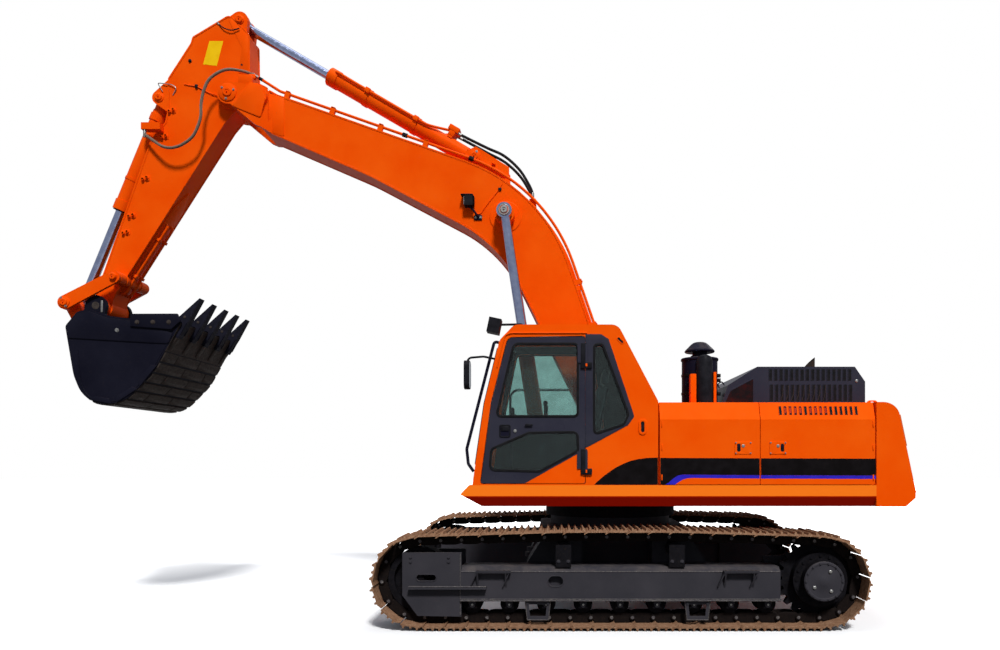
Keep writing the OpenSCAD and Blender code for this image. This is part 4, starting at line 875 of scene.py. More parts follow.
# Black covers over the door's two hinges
covers = [block("cover", at(-404, -1513, z - 150), at(-340, -1493, z + 112), 0.008,
                segments=3) for z in (1740, 2835)]
covers += [block("knuckle_cover", at(-372, -1517, z - 32), at(-288, -1493, z + 32), 0.006) for z in (1621,
                                                                                                     2717)]
fitted(joined("hinge_covers", covers), "door", moulded_plastic)

# Grab slot in the rear corner, and the vent slot on the rear slope, each with a dark sheet of painted shade
# inside
slot_loop = rounded_rect(218, 2026, 252, 2138, 16)
fitted(framed_plate("grab_slot_rim", inset_loop(slot_loop, -26), slot_loop, -1500, -1489, 0.003), "upper",
       orange_enamel)
fitted(side_plate("grab_slot_shade", inset_loop(slot_loop, -2), -1491.5, -1489), "upper", moulded_plastic)
vent_loop = rounded_loop([[-28, 2994, 8], [23, 2943, 8], [38, 2958, 8], [-13, 3009, 8]])
fitted(framed_plate("vent_slot_rim", inset_loop(vent_loop, -8), vent_loop, -1495, -1489, 0.002), "upper",
       orange_enamel)
fitted(side_plate("vent_slot", vent_loop, -1491.5, -1489), "upper", moulded_plastic)

# Rain gutter over the door
fitted(tube("rain_gutter", curved([at(-1268, -1497, 2700), at(-1188, -1497, 3030), at(-1120, -1497, 3052),
                                   at(-340, -1497, 3052)], 0.09), 0.014), "upper", orange_enamel)


def front_x(z):
    """Where the cab's front stands at height z."""
    foot, middle, brow = (-1524, DECK_TOP), (-1400, 2330), (-1243, CAB_TOP - 160)
    a, b = (foot, middle) if z < middle[1] else (middle, brow)
    return a[0] + (z - a[1]) * (b[0] - a[0]) / (b[1] - a[1])


def across_front(corners, proud):
    """Points on the cab's front for corners [y, z], standing proud by millimetres."""
    return [at(front_x(z) - proud, y, z) for y, z in corners]


screen = [(-1400, 1700), (-635, 1700), (-635, 2330), (-635, 2900), (-1400, 2900), (-1400, 2330)]
fitted(tube("windscreen_gasket", across_front(screen, 2), 0.03, closed=True), "upper", gasket_rubber)
fitted(tube("windscreen_rail", across_front([(-1400, 2330), (-635, 2330)], -8), 0.03), "upper",
       moulded_plastic)
wiper = joined("wiper", [
    drum("boss", at(front_x(1650) + 6, -1010, 1650), at(front_x(1650) - 34, -1010, 1656), 0.026, 0.02, 20,
         0.003),
    tube("arm", curved([at(front_x(1650) - 26, -1010, 1650), at(front_x(1800) - 34, -1040, 1800),
                        at(front_x(2280) - 12, -1190, 2280)], 0.1), 0.013),
    tube("blade", across_front([(-1090, 2020), (-1190, 2290), (-1270, 2500)], -6), 0.018)])
fitted(wiper, "upper", moulded_plastic)
fitted(tube("front_handrail", curved([at(front_x(1660) - 2, -640, 1660), at(front_x(1700) - 60, -640, 1700),
                                      at(front_x(2500) - 60, -640, 2500), at(front_x(2540) - 2, -640, 2540)],
                                     0.05),
            0.026), "upper", black_enamel, "chassis_paint")


def rear_x(z):
    """Where the cab's rear slope stands at height z."""
    return 396 - (z - 2350) * 416 / (CAB_TOP - 2350)


rear_screen = [(-1380, 2420), (-655, 2420), (-655, 2960), (-1380, 2960)]
fitted(tube("rear_window_gasket", [at(rear_x(z) - 2, y, z) for y, z in rear_screen], 0.03, closed=True),
       "upper",
       gasket_rubber)
hatch = [(-980, -1310), (-420, -1310), (-420, -725), (-980, -725)]
fitted(tube("roof_hatch_gasket", [at(x, y, CAB_TOP + 2) for x, y in hatch], 0.03, closed=True), "upper",
       gasket_rubber)
fitted(tube("roof_hatch_handle", curved([at(-780, -1018, 3112), at(-780, -1018, 3070), at(-620, -1018, 3070),
                                         at(-620, -1018, 3112)], 0.02), 0.016), "upper", moulded_plastic)

# The roof lamp's lens; the mirror's glass and rim
fitted(block("cab_lamp_lens", at(-1372, -1364, 3095), at(-1364, -1236, 3210), 0.004,
             (0, math.radians(12), 0)), "upper",
       lamp_lens)
mirror_loop = rounded_rect(-1680, 2470, -1530, 2740, 55)
glass = sheet_metal("mirror_glass", [at(-1538, y, z) for y, z in mirror_loop], (0.003, 0, 0))
fitted(glass, "upper", silvered_glass)
fitted(tube("mirror_rim", [at(-1539, y, z) for y, z in inset_loop(mirror_loop, -3)], 0.012, closed=True),
       "upper",
       moulded_plastic)

# ---------- inside the cab ----------

SEAT_X = -420
SEAT_Y = (CAB_LEFT + CAB_RIGHT) / 2
FLOOR = DECK_TOP + 55


seat_pivot = at(SEAT_X + 150, SEAT_Y, FLOOR + 430)


def seat_at(x, y, z):
    """A point given in millimetres from the seat's reference point on the floor."""
    return at(SEAT_X + x, SEAT_Y + y, FLOOR + z)


def leaned(piece):
    """Tips a piece of the backrest 12 degrees back about the seat's hinge."""
    tip = Matrix.Rotation(math.radians(12), 4, "Y")
    piece.data.transform(Matrix.Translation(seat_pivot) @ tip @ Matrix.Translation(-seat_pivot))
    return piece


def cushion(name, low, high, pull, cap, leans=True):
    """A foam pad in its sewn cover: a block blown up by cloth pressure, no point by more than cap."""
    piece = block(name, low, high, 0.0)
    apply_modifier(piece, "REMESH", mode="VOXEL", voxel_size=0.014)
    rest = [v.co.copy() for v in piece.data.vertices]
    choose(piece)
    cloth = piece.modifiers.new("cloth", "CLOTH")
    cloth.settings.use_pressure = True
    cloth.settings.uniform_pressure_force = pull
    cloth.settings.effector_weights.gravity = 0
    cloth.settings.quality = 4
    cloth.point_cache.frame_end = 20
    for step in range(1, 21):
        bpy.context.scene.frame_set(step)
    bpy.ops.object.modifier_apply(modifier="cloth")
    for vertex, start in zip(piece.data.vertices, rest):
        move = vertex.co - start
        if move.length > cap:
            vertex.co = start + move.normalized() * cap
    bpy.context.scene.frame_set(1)
    apply_modifier(piece, "SMOOTH", factor=0.5, iterations=6)
    if leans:
        leaned(piece)
    smooth(piece, 80)
    fitted(piece, "upper", seat_cloth)


cushion("seat_cushion", seat_at(-298, -235, 318), seat_at(150, 235, 428), 4.0, 0.016, leans=False)
cushion("seat_backrest", seat_at(100, -222, 450), seat_at(196, 222, 1015), 4.0, 0.016)
cushion("seat_headrest", seat_at(115, -120, 1040), seat_at(182, 120, 1195), 3.0, 0.01)
pedestal = joined("seat_pedestal", [
    block("base", seat_at(-240, -220, 0), seat_at(220, 220, 120), 0.02),
    block("bellows", seat_at(-200, -190, 120), seat_at(180, 190, 270), 0.03),
    block("pan", seat_at(-290, -240, 268), seat_at(200, 240, 320), 0.018)])
fitted(pedestal, "upper", moulded_plastic, "upholstery")
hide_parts("operator_seat")
shell = block("seat_back_shell", seat_at(190, -215, 455), seat_at(212, 215, 1010), 0.01, segments=3)
posts = joined("headrest_posts",
               [drum("post", seat_at(150, s * 60, 980), seat_at(150, s * 60, 1080), 0.007, sides=12)
                                  for s in (-1, 1)])
fitted(leaned(shell), "upper", moulded_plastic, "upholstery")
fitted(leaned(posts), "upper", zinc_plate, "upholstery")

for side, label in ((-1, "left"), (1, "right")):
    y = side * 326
    fitted(block(f"{label}_armrest", seat_at(-260, y - 45, 600), seat_at(60, y + 45, 650), 0.02, segments=4),
           "upper", moulded_plastic, "upholstery")
    boot = turned(f"{label}_lever_boot",
                  [(0, 0.0), (0.062, 0.0), (0.058, 0.014), (0.05, 0.016), (0.046, 0.032),
                                          (0.036, 0.036), (0.03, 0.052), (0.016, 0.06), (0.0, 0.06)],
                  seat_at(-350, side * 320, 560))
    fitted(boot, "upper", gasket_rubber)
    knob = turned(f"{label}_lever_grip",
                  [(0, 0.0), (0.016, 0.0), (0.019, 0.03), (0.017, 0.075), (0.023, 0.105),
                                          (0.024, 0.125), (0.014, 0.138), (0.0, 0.14)],
                  seat_at(-350, side * 320, 690))
    fitted(knob, "upper", moulded_plastic)
    pedal = joined(f"{label}_travel_pedal", [
        block("pad", at(-1215, SEAT_Y + side * 90 - 45, FLOOR + 60),
              at(-1055, SEAT_Y + side * 90 + 45, FLOOR + 76), 0.004,
              (0, math.radians(-18), 0)),
        tube("lever",
             curved([at(-1130, SEAT_Y + side * 90, FLOOR + 70), at(-1150, SEAT_Y + side * 90, FLOOR + 330),
                              at(-1110, SEAT_Y + side * 90, FLOOR + 640)], 0.08), 0.018)])
    fitted(pedal, "upper", black_enamel)
    fitted(drum(f"{label}_travel_knob", at(-1111, SEAT_Y + side * 90, FLOOR + 630),
                at(-1106, SEAT_Y + side * 90, FLOOR + 700),
                0.02, 0.017, 20, 0.006), "upper", moulded_plastic)
fitted(joined("monitor", [
    block("screen", at(-1180, CAB_RIGHT - 290, 2180), at(-1130, CAB_RIGHT - 110, 2330), 0.012, segments=3),
    tube("stalk", [at(-1150, CAB_RIGHT - 190, 2200), at(-1150, CAB_RIGHT - 190, 1900)], 0.03)]), "upper",
    moulded_plastic)
fitted(drum("safety_knob", at(-770, CAB_LEFT + 160, 2190), at(-770, CAB_LEFT + 160, 2240), 0.02, 0.017, 20,
            0.006), "upper",
       red_plastic)
fitted(tube("safety_lever", curved([at(-700, CAB_LEFT + 160, 2050), at(-770, CAB_LEFT + 160, 2080),
                                    at(-770, CAB_LEFT + 160, 2200)], 0.04), 0.016), "upper", black_enamel)
# Lining of the far wall round its window
wall = [[-1385, 1560, 20], [250, 1560, 20], [250, 2330, 20], [-60, 3040, 20], [-1180, 3040, 20]]
fitted(framed_plate("far_wall_lining", rounded_loop(wall), inset_loop(far_window, -3), CAB_RIGHT - 60,
                    CAB_RIGHT - 54),
       "upper", cab_lining)
# Trim: rear panel, floor mat, the pillar behind the door and the rolled sun blind
fitted(block("rear_trim", at(225, CAB_LEFT + 60, FLOOR), at(330, CAB_RIGHT - 60, 2300), 0.02), "upper",
       cab_trim)
fitted(block("floor_mat", at(-1380, CAB_LEFT + 62, FLOOR), at(-700, CAB_RIGHT - 62, FLOOR + 12), 0.004),
       "upper",
       grit_tape)
fitted(block("door_pillar_trim", at(-345, CAB_LEFT + 56, FLOOR), at(-275, CAB_LEFT + 84, 3060), 0.01),
       "upper", cab_trim)
fitted(tube("sun_blind", [at(-1130, CAB_LEFT + 110, 2985), at(-1130, CAB_RIGHT - 110, 2985)], 0.05), "upper",
       cab_trim)

# ---------- upper structure ----------

DOOR_FACE = 1490
TAIL = 3400  # swing radius of the counterweight


def door_y(z, side=-1, proud=0.0):
    """The outer face of the side doors at height z: upright, then leaning in above the crease."""
    return side * (DOOR_FACE + proud - max(0, z - 2160) / 3)


# Vinyl films on the side doors: a black band over a blue line that sweeps down to the front
black_front = [(417, 1762), (1443, 1758), (1443, 1584), (648, 1590), (600, 1580), (555, 1552), (505, 1508),
               (470, 1487),
               (417, 1487)]
blue_front = [(1443, 1583), (1443, 1549), (760, 1556), (700, 1553), (645, 1536), (600, 1508), (570, 1487),
              (470, 1487),
              (505, 1508), (555, 1552), (600, 1580), (648, 1589)]
black_rear = [(1457, 1758), (2643, 1754), (2643, 1580), (1457, 1584)]
blue_rear = [(1457, 1583), (2643, 1579), (2643, 1545), (1457, 1549)]
for body, label, profile, film, side in (
        ("front_panel", "black", black_front, black_vinyl, -1),
        ("front_panel", "blue", blue_front, blue_vinyl, -1),
        ("rear_panel", "black", black_rear, black_vinyl, -1),
        ("rear_panel", "blue", blue_rear, blue_vinyl, -1),
        ("pump_panel", "black", black_rear, black_vinyl, 1),
        ("pump_panel", "blue", blue_rear, blue_vinyl, 1)):
    film_piece = side_plate(body + "_" + label + "_film", profile,
                            *sorted((side * (DOOR_FACE - 1), side * (DOOR_FACE + 0.8))))
    fitted(film_piece, body, film, "body_paint")

# A flush latch on each door: its plate and four screws, the dark finger well and the key barrel
for body, x, turn, side in (("front_panel", 1273, -1, -1), ("rear_panel", 1632, 1, -1),
                            ("pump_panel", 1632, 1, 1)):
    face = side * DOOR_FACE
    well_x = x + turn * 46
    plate = framed_plate(body + "_latch_plate", rounded_rect(x - 88, 1800, x + 88, 1930, 10),
                         rounded_rect(well_x - 18, 1826, well_x + 18, 1908, 14),
                         *sorted((face, face + side * 5)), 0.0018)
    fitted(plate, body, orange_enamel)
    well = side_plate(body + "_latch_well", rounded_rect(well_x - 19, 1824, well_x + 19, 1910, 14),
                      *sorted((face, face + side * 1.5)))
    fitted(well, body, gasket_rubber)
    pull = block("pull", at(well_x - 15, face + side, 1862), at(well_x + 15, face + side * 6, 1904), 0.004,
                 segments=3)
    fitted(pull, body, black_enamel).name = body + "_latch_pull"
    key = [drum("key", at(x, face, 1885), at(x, face + side * 9, 1885), 0.019, 0.016, 24, 0.0025),
           block("slot", at(x - 2, face + side * 8, 1877), at(x + 2, face + side * 10.5, 1893), 0.0008)]
    fitted(joined(body + "_latch_key", key), body, zinc_plate, "black_plastic")
    bolts(body + "_latch_screws",
          [[x + dx, face + side * 5, 1865 + dz] for dx in (-76, 76) for dz in (-54, 54)], body,
          "left" if side < 0 else "right", 0.006, zinc_plate, "black_plastic")


def vent_row(name, body, first, pitch, count, low, high, width, place, material, slot, lip=0.007):
    """Pressed vent slots, each mouth a dark sheet of painted shade in a rounded lip; place(x, z, proud) is a
    point on the sheet.
    """
    mouths, lips = [], []
    for i in range(count):
        x0 = first + pitch * i
        corners = [(x0, low), (x0 + width, low), (x0 + width, high), (x0, high)]
        mouths.append(sheet_metal("mouth", [place(x, z, 1.2) for x, z in corners],
                                  place(0, 0, -2) - place(0, 0, 0)))
        lips.append(tube("lip", [place(x0 - 3, low, 2), place(x0 - 3, high, 2)], lip, sides=6))
    fitted(joined(name + "_mouths", mouths), body, gasket_rubber)
    fitted(joined(name + "_lips", lips), body, material, slot)


for body, side in (("rear_panel", -1), ("pump_panel", 1)):
    vent_row(body + "_vents", body, 1651, 52.5, 16, 2207, 2298, 27,
             lambda x, z, proud, side=side: at(x, door_y(z, side, proud), z), orange_enamel, "body_paint")
    # Part of the baffle behind shows in eight of the slots, in orange darkened as painted shade
    chips = [sheet_metal("chip", [at(x, door_y(z, side, 2.0), z) for x, z in
                                  ((x0 + 3, 2226), (x0 + 22, 2226), (x0 + 22, 2284), (x0 + 3, 2284))],
                         (0, -side * 0.0006, 0)) for x0 in [1651 + 52.5 * i for i in (1, 2, 3, 4, 6, 7, 8,
                                                                                      9)]]
    fitted(joined(body + "_vent_baffle_shade", chips), body, heated_orange)

# Hinge knuckles at the doors' hanging edges
for body, x, side in (("front_panel", 433.5, -1), ("rear_panel", 2616.5, -1), ("pump_panel", 2616.5, 1)):
    knuckles = [drum("knuckle", at(x, side * DOOR_FACE, z), at(x, side * DOOR_FACE, z + 60), 0.008, sides=16,
                     bevel=0.002)
                for z in (1530, 1840, 2080)]
    fitted(joined(body + "_hinge_knuckles", knuckles), body, orange_enamel)


def tail_radius(z):
    """Radius of the counterweight's face at height z."""
    return TAIL - max(0, z - 1420) * 175 / 920


def tail_point(angle, z, proud=0.0):
    """A point on the counterweight's face, the angle in degrees from straight back."""
    r = tail_radius(z) + proud
    return at(r * math.cos(math.radians(angle)), r * math.sin(math.radians(angle)), z)


def tail_patch(name, angles, heights, proud, thickness, bevel=0.0, steps=8):
    """A thin patch that follows the counterweight's curve."""
    begin()
    bpy.ops.mesh.primitive_grid_add(x_subdivisions=steps, y_subdivisions=4, size=1)
    piece = made(name)
    for vertex in piece.data.vertices:
        angle = angles[0] + (vertex.co.x + 0.5) * (angles[1] - angles[0])
        z = heights[0] + (vertex.co.y + 0.5) * (heights[1] - heights[0])
        vertex.co = tail_point(angle, z, proud)
    edit(piece)
    face_out()
    begin()
    apply_modifier(piece, "SOLIDIFY", thickness=thickness, offset=0)
    return rounded_edges(piece, bevel)


for side, label in ((-1, "left"), (1, "right")):
    fitted(tail_patch(label + "_side_reflector", sorted((side * 24.1, side * 25.3)), (1890, 2216), 3, 0.008,
                      0.002),
           "upper", amber_lens)
    fitted(tail_patch(label + "_rear_reflector", sorted((side * 13, side * 18)), (1440, 1500), 2, 0.006,
                      0.0015),
           "upper", red_lens)
fitted(tail_patch("tail_seam", (-25, 25), (1404, 1416), 1, 0.010, 0.003, 30), "upper", boom_enamel)
# Lifting eyes on the counterweight's top and the caps over its mounting bolts
for side, label in ((-1, "left"), (1, "right")):
    eye = framed_plate(label + "_lifting_eye",
                       rounded_loop([[2890, 2332, 0], [3040, 2332, 0], [3020, 2425, 40],
                                                             [2910, 2425, 40]]),
                       [(2965 + 28 * math.cos(i * math.pi / 10),
                         2384 + 28 * math.sin(i * math.pi / 10)) for i in range(20)],
                       side * 620 - 14, side * 620 + 14, 0.004)
    fitted(eye, "upper", orange_enamel)
caps = [turned("cap", [(0, -0.002), (0.07, -0.002), (0.07, 0.008), (0.058, 0.014), (0.0, 0.014)],
               at(2860, y, 2340),
               steps=32) for y in (-300, 0, 300)]
fitted(joined("counterweight_caps", caps), "upper", moulded_plastic)

# Hood: two rows of tall louvres on each side, a shaded front corner in its seam, ribs on top and two handles
for side, label in ((-1, "left"), (1, "right")):
    face = side * 1200
    for row, (low, high, first, count) in enumerate(((2590, 2712, 1622, 16), (2372, 2548, 1632, 16))):
        vent_row(label + "_hood_row_" + str(row), "hood", first, 56.5, count, low, high, 32,
                 lambda x, z, proud, side=side: at(x, side * (1200 + proud), z), charcoal_enamel,
                 "hood_paint", 0.008)
    # Cooler pipes seen through the lower row
    pipes = [tube("pipe",
                  [at(x, face + side * 2, 2376), at(x + 22, face + side * 2, 2440),
                   at(x + 30, face + side * 2, 2540)],
                  0.007, sides=6) for x in [1745 + 56.5 * i for i in range(9)]]
    fitted(joined(label + "_cooler_pipes", pipes), "hood", worn_steel, "engine_iron")
    # A flat sheet paints the shade and the warm reflection of the front corner
    recess = side_plate(label + "_hood_corner_shade",
                        [(1150, 2350), (1450, 2350), (1450, 2600), (1400, 2590), (1205, 2470)],
                        *sorted((face, face + side * 1.2)))
    fitted(recess, "hood", recess_shade)
    seam = framed_plate(label + "_hood_seam", [(1140, 2346), (1462, 2346), (1462, 2625), (1195, 2492)],
                        [(1152, 2352), (1450, 2352), (1450, 2606), (1207, 2478)],
                        *sorted((face, face + side * 4)), 0.0012)
    fitted(seam, "hood", charcoal_enamel, "hood_paint")
    fitted(drum(label + "_hood_catch", at(2558, face, 2588), at(2558, face + side * 9, 2588), 0.02, 0.014,
                20, 0.003),
           "hood", zinc_plate, "black_plastic")
ribs = [block("rib", at(1540, y - 24, 2738), at(2500, y + 24, 2750), 0.005) for y in (-840, -420, 420, 840)]
fitted(joined("hood_ribs", ribs), "hood", charcoal_enamel, "hood_paint")
grips = [tube("grip",
              curved([at(1290, y, 2616), at(1262, y, 2652), at(1212, y, 2616), at(1236, y, 2576)], 0.03),
              0.016)
         for y in (-520, 520)]
fitted(joined("hood_grips", grips), "hood", black_enamel)
fitted(turned("exhaust_collar",
              [(0.065, -0.003), (0.11, -0.003), (0.11, 0.01), (0.085, 0.014), (0.076, 0.045), (0.065, 0.045)],
              at(2450, 0, 2742)), "hood", heated_steel)

# Air cleaner: two bands, the intake duct in front between the legs of its orange bracket
bands = [turned("band", [(0.1925, 0), (0.199, 0.002), (0.199, 0.026), (0.1925, 0.028)],
                at(915, -1000, z)) for z in
         (2452, 2650)]
bands += [block("clamp", at(1108, -1030, z - 6), at(1142, -990, z + 34), 0.004) for z in (2452, 2600, 2650)]
fitted(joined("air_cleaner_bands", bands), "upper", black_bolts)
lids = [turned("lid",
               [(0, 0), (0.198, 0), (0.203, 0.006), (0.203, 0.022), (0.196, 0.03), (0.06, 0.034), (0, 0.034)],
               at(915, -1000, 2822), steps=64),
        turned("collar", [(0.08, 0), (0.096, 0), (0.096, 0.03), (0.08, 0.032)], at(915, -1000, 2852)),
        turned("bead", [(0.156, 0.0), (0.163, 0.004), (0.163, 0.012), (0.156, 0.016)], at(915, -1000, 2920))]
fitted(joined("air_cleaner_lid", lids), "upper", black_enamel, "black_steel")
duct = turned("intake_duct",
              [(0.0, 0), (0.085, 0), (0.088, 0.03), (0.088, 0.46), (0.07, 0.505), (0.035, 0.524), (0, 0.528)],
              at(930, -1196, 2342))
fitted(duct, "upper", moulded_plastic)
legs = [sheet_metal("leg", [at(x0, -1230, 2341), at(x1, -1230, 2341), at(x1, -1230, top), at(x0, -1230, top)],
                    (0, 0.09, 0), 0.003) for x0, x1, top in ((776, 838, 2660), (1022, 1052, 2680))]
legs.append(block("foot", at(760, -1260, 2341), at(1080, -1090, 2349), 0.003))
fitted(joined("air_cleaner_bracket", legs), "upper", orange_enamel)

# Fuel cap, and grit strips on the tank and the tool box
fitted(turned("fuel_cap",
              [(0, 0), (0.062, 0), (0.062, 0.012), (0.05, 0.018), (0.05, 0.05), (0.042, 0.058), (0, 0.06)],
              at(-120, 1080, 2299), steps=40), "upper", moulded_plastic)
strips = [block("strip", at(x, 700, z), at(x + 150, 1300, z + 3), 0.001) for x, z in
          ((-520, 2300), (-20, 2300), (180, 2300), (-1360, 1900), (-1150, 1900), (-940, 1900), (-730, 1900))]
fitted(joined("grit_strips", strips), "upper", grit_tape)

# ---------- boom, arm and linkage ----------

BOOM_SIDE = -200
EAR_SIDE = -300
ARM_SIDE = -155
boom_edge = rounded_loop([
    [-4118, 6190, 20], [-4005, 6126, 80], [-828, 5010, 2000], [190, 2085, 0], [100, 1880, 90],
    [-100, 1860, 90],
    [-190, 2010, 0], [-1330, 4330, 1700], [-2900, 5160, 3000], [-4080, 5668, 0]], 12)
arm_edge = rounded_loop([
    [-4600, 7110, 60], [-5040, 6845, 40], [-5060, 6770, 30], [-5335, 6345, 60], [-5335, 5980, 40],
    [-5370, 5815, 40],
    [-5543, 5604, 60], [-6207, 3734, 60], [-6190, 3640, 0], [-6020, 3640, 0], [-5975, 3745, 40],
    [-4660, 5811, 150],
    [-4440, 6070, 60], [-4352, 6220, 40], [-4362, 6870, 60]])


def left_turned(name, profile, x, y, z, steps=40):
    """A turned shape standing outwards from the left face at y; profile is (radius, height) in metres."""
    return turned(name, [(r, -h) for r, h in profile], at(x, y, z), axis="Y", steps=steps)


# Cover plates: the top and bottom plates stand a little past the side plates, with a weld along the joint
for name, loop, side, body in (("boom", boom_edge, BOOM_SIDE, "boom_body"),
                               ("arm", arm_edge, ARM_SIDE, "arm_body")):
    lip = framed_plate(name + "_plate_edges", inset_loop(loop, -7), inset_loop(loop, 9), side - 4, side + 12,
                       0.002)
    both(lip, body, boom_enamel)
    bead = tube(name + "_weld_beads", [side_point(p, side + 1.5) for p in inset_loop(loop, 13)], 0.011,
                closed=True, sides=8)
    both(bead, body, boom_enamel)


def pin_end(name, body, x, z, y, radius, material, flange=None, screws=2, start=40.0, low=1.0):
    """The end of a pivot pin: its flange on the boss, its domed head with a grease nipple, and the screws."""
    flange = flange or radius * 1.5
    profile = [(0, -0.002), (flange, -0.002), (flange, 0.010 * low), (flange - 0.006, 0.014 * low),
               (0, 0.014 * low)]
    plate = left_turned(name + "_flange", profile, x, y, z)
    both(plate, body, bucket_paint if body == "bucket_body" else boom_enamel)
    profile = [(0, 0.012), (radius, 0.012), (radius, 0.024), (radius - 0.006, 0.029), (radius * 0.5, 0.029),
               (radius * 0.45, 0.024), (0.009, 0.024), (0.007, 0.036), (0.004, 0.041), (0, 0.041)]
    head = left_turned(name + "_head", [(r, h * low) for r, h in profile], x, y, z)
    both(head, body, material, "black_steel")
    spots = []
    for i in range(screws):
        a = math.radians(start + 360 / screws * i)
        r = (radius + flange) / 2 * 1000 + 1
        spots.append([x + r * math.cos(a), y - 14, z + r * math.sin(a)])
    if screws:
        bolts(name + "_screws", spots, body, "left", 0.011, zinc_plate, "black_steel")
        bolts(name + "_screws_right", [[a, -b, c] for a, b, c in spots], body, "right", 0.011, zinc_plate,
              "black_steel")


pin_end("boom_foot_pin", "upper", 0, 2050, -395, 0.055, zinc_plate, 0.095, 3, 30)
pin_end("boom_rod_pin", "boom_body", -1265, 4660, -472, 0.044, zinc_plate, 0.058, 0)
pin_end("arm_pivot_pin", "boom_body", -4560, 6110, EAR_SIDE, 0.052, boom_enamel, 0.105, 3, 20)
pin_end("arm_base_pin", "boom_body", -1645, 5410, -150, 0.045, boom_enamel, 0.075, 2, 60)
pin_end("arm_rod_pin", "arm_body", -4480, 7060, -150, 0.044, boom_enamel, 0.056, 0)
pin_end("bucket_base_pin", "arm_body", -5450, 6120, -152, 0.040, boom_enamel, 0.056, 0)
pin_end("rocker_pin", "arm_body", -5897, 3914, -340, 0.040, boom_enamel, 0.044, 0)
pin_end("rocker_tip_pin", "rocker", -6480, 3610, -335, 0.044, boom_enamel, 0.066, 2, 300)
pin_end("bucket_pin", "bucket_body", -6136, 3581, -285, 0.045, worn_steel, 0.078, 0, low=0.18)
pin_end("link_end_pin", "bucket_body", -6228, 3110, -285, 0.045, worn_steel, 0.078, 2, 60)

# Ring at the boom cylinder's rod, and the lock bar on the bucket's pin
ring = left_turned("rod_washer", [(0.052, 0), (0.068, 0), (0.068, 0.012), (0.064, 0.018), (0.052, 0.018)],
                   -1265, -472, 4660)
both(ring, "boom_body", zinc_plate)
bar = block("bucket_pin_lock", at(-6072, -292, 3500), at(-6048, -284, 3640), 0.002)
both(bar, "bucket_body", zinc_plate, "bucket_steel")

# Doubler plates: behind the arm cylinder's lug, on the boom's ears, round the boom cylinder's boss
plate = side_plate("arm_lug_doubler",
                   [(-4610, 7045), (-4452, 6723), (-4487, 6410), (-4368, 6390), (-4372, 6862),
                                       (-4395, 6900), (-4575, 7085)], ARM_SIDE - 4, ARM_SIDE + 2, 0.002)
both(plate, "arm_body", boom_enamel)
# A flat dark disc is painted shade inside the lug's bore
bore = left_turned("arm_lug_bore_shade", [(0, 0.0), (0.012, 0.0), (0.012, 0.0015), (0, 0.0015)], -4449,
                   ARM_SIDE - 4, 6510, 20)
both(bore, "arm_body", gasket_rubber)
plug = left_turned("arm_plug",
                   [(0, -0.001), (0.021, -0.001), (0.021, 0.005), (0.015, 0.008), (0.015, 0.016), (0, 0.018)],
                   -5074, ARM_SIDE, 6558, 24)
both(plug, "arm_body", black_bolts, "black_plastic")
boss = left_turned("boom_boss_plate",
                   [(0, -0.002), (0.19, -0.002), (0.19, 0.006), (0.183, 0.011), (0, 0.011)], -1265,
                   BOOM_SIDE, 4660, 64)
both(boss, "boom_body", boom_enamel)
pad = left_turned("rocker_boss_ring",
                  [(0, -0.002), (0.082, -0.002), (0.082, 0.006), (0.076, 0.011), (0, 0.011)], -5897,
                  ARM_SIDE, 3914, 48)
both(pad, "arm_body", boom_enamel)

# Gusset that closes the corner between the ear and the box, and the doubler round the ear
gusset = side_plate("tip_gusset", [(-4150, 5720), (-4080, 5676), (-3950, 5626),
    (-3925, 5640), (-3925, 6082), (-4150, 6165)], -207, -196, 0.003)
both(gusset, "boom_body", boom_enamel)
doubler = side_plate("ear_doubler", rounded_loop([
    [-4510, 5950, 30], [-4165, 5808, 20], [-4110, 6030, 30], [-4150, 6180, 30], [-4290, 6235, 30]]),
    EAR_SIDE - 12, EAR_SIDE + 2, 0.004)
both(doubler, "boom_body", boom_enamel)

# Pipe block on each ear of the boom's tip, its sleeve nuts, and the flange nuts along the boom's pipes
both(block("tip_pipe_block", at(-4440, -298, 6205), at(-4275, -216, 6325), 0.006), "boom_body", boom_enamel)
both(block("tip_pipe_clamp", at(-4345, -218, 6318), at(-4265, -160, 6372), 0.006), "boom_body", boom_enamel)
LINE = ((-4240, 6346.4), (-3978.6, 6180.3), (-780.8, 5057), (33, 2718.6))


def along_line(part, share, proud=0.0):
    """A point on the boom's pipe and its direction: share of the way along one straight length of it."""
    a, b = Vector(LINE[part]), Vector(LINE[part + 1])
    d = (b - a).normalized()
    p = a.lerp(b, share)
    return p.x - d.y * proud, p.y + d.x * proud, d


def nut_on_line(part, share, length, radius):
    x, z, d = along_line(part, share)
    return drum("nut", at(x - d.x * length / 2, -177, z - d.y * length / 2),
                at(x + d.x * length / 2, -177, z + d.y * length / 2),
                radius, sides=6, bevel=0.002)


nuts = [nut_on_line(0, 0.12, 55, 0.020), nut_on_line(1, 0.47, 60, 0.028), nut_on_line(1, 0.72, 60, 0.028),
        nut_on_line(2, 0.96, 50, 0.028)]
both(joined("pipe_nuts", nuts), "boom_body", black_bolts)
straps = []
for part, share in ((1, 0.03), (1, 0.2), (1, 0.38), (1, 0.55), (1, 0.8), (2, 0.5), (2, 0.72)):
    x, z, d = along_line(part, share, 22)
    n = Vector((-d.y, d.x))
    straps.append(sheet_metal("strap",
                              [at(x + d.x * 24, -206, z + d.y * 24), at(x - d.x * 24, -206, z - d.y * 24),
                                        at(x - d.x * 24, -148, z - d.y * 24),
                               at(x + d.x * 24, -148, z + d.y * 24)],
                              (n.x * 0.006, 0, n.y * 0.006), 0.0015))
    straps.append(drum("stud", at(x, -160, z), at(x + n.x * 16, -160, z + n.y * 16), 0.010, sides=6))
both(joined("pipe_straps", straps), "boom_body", boom_enamel)

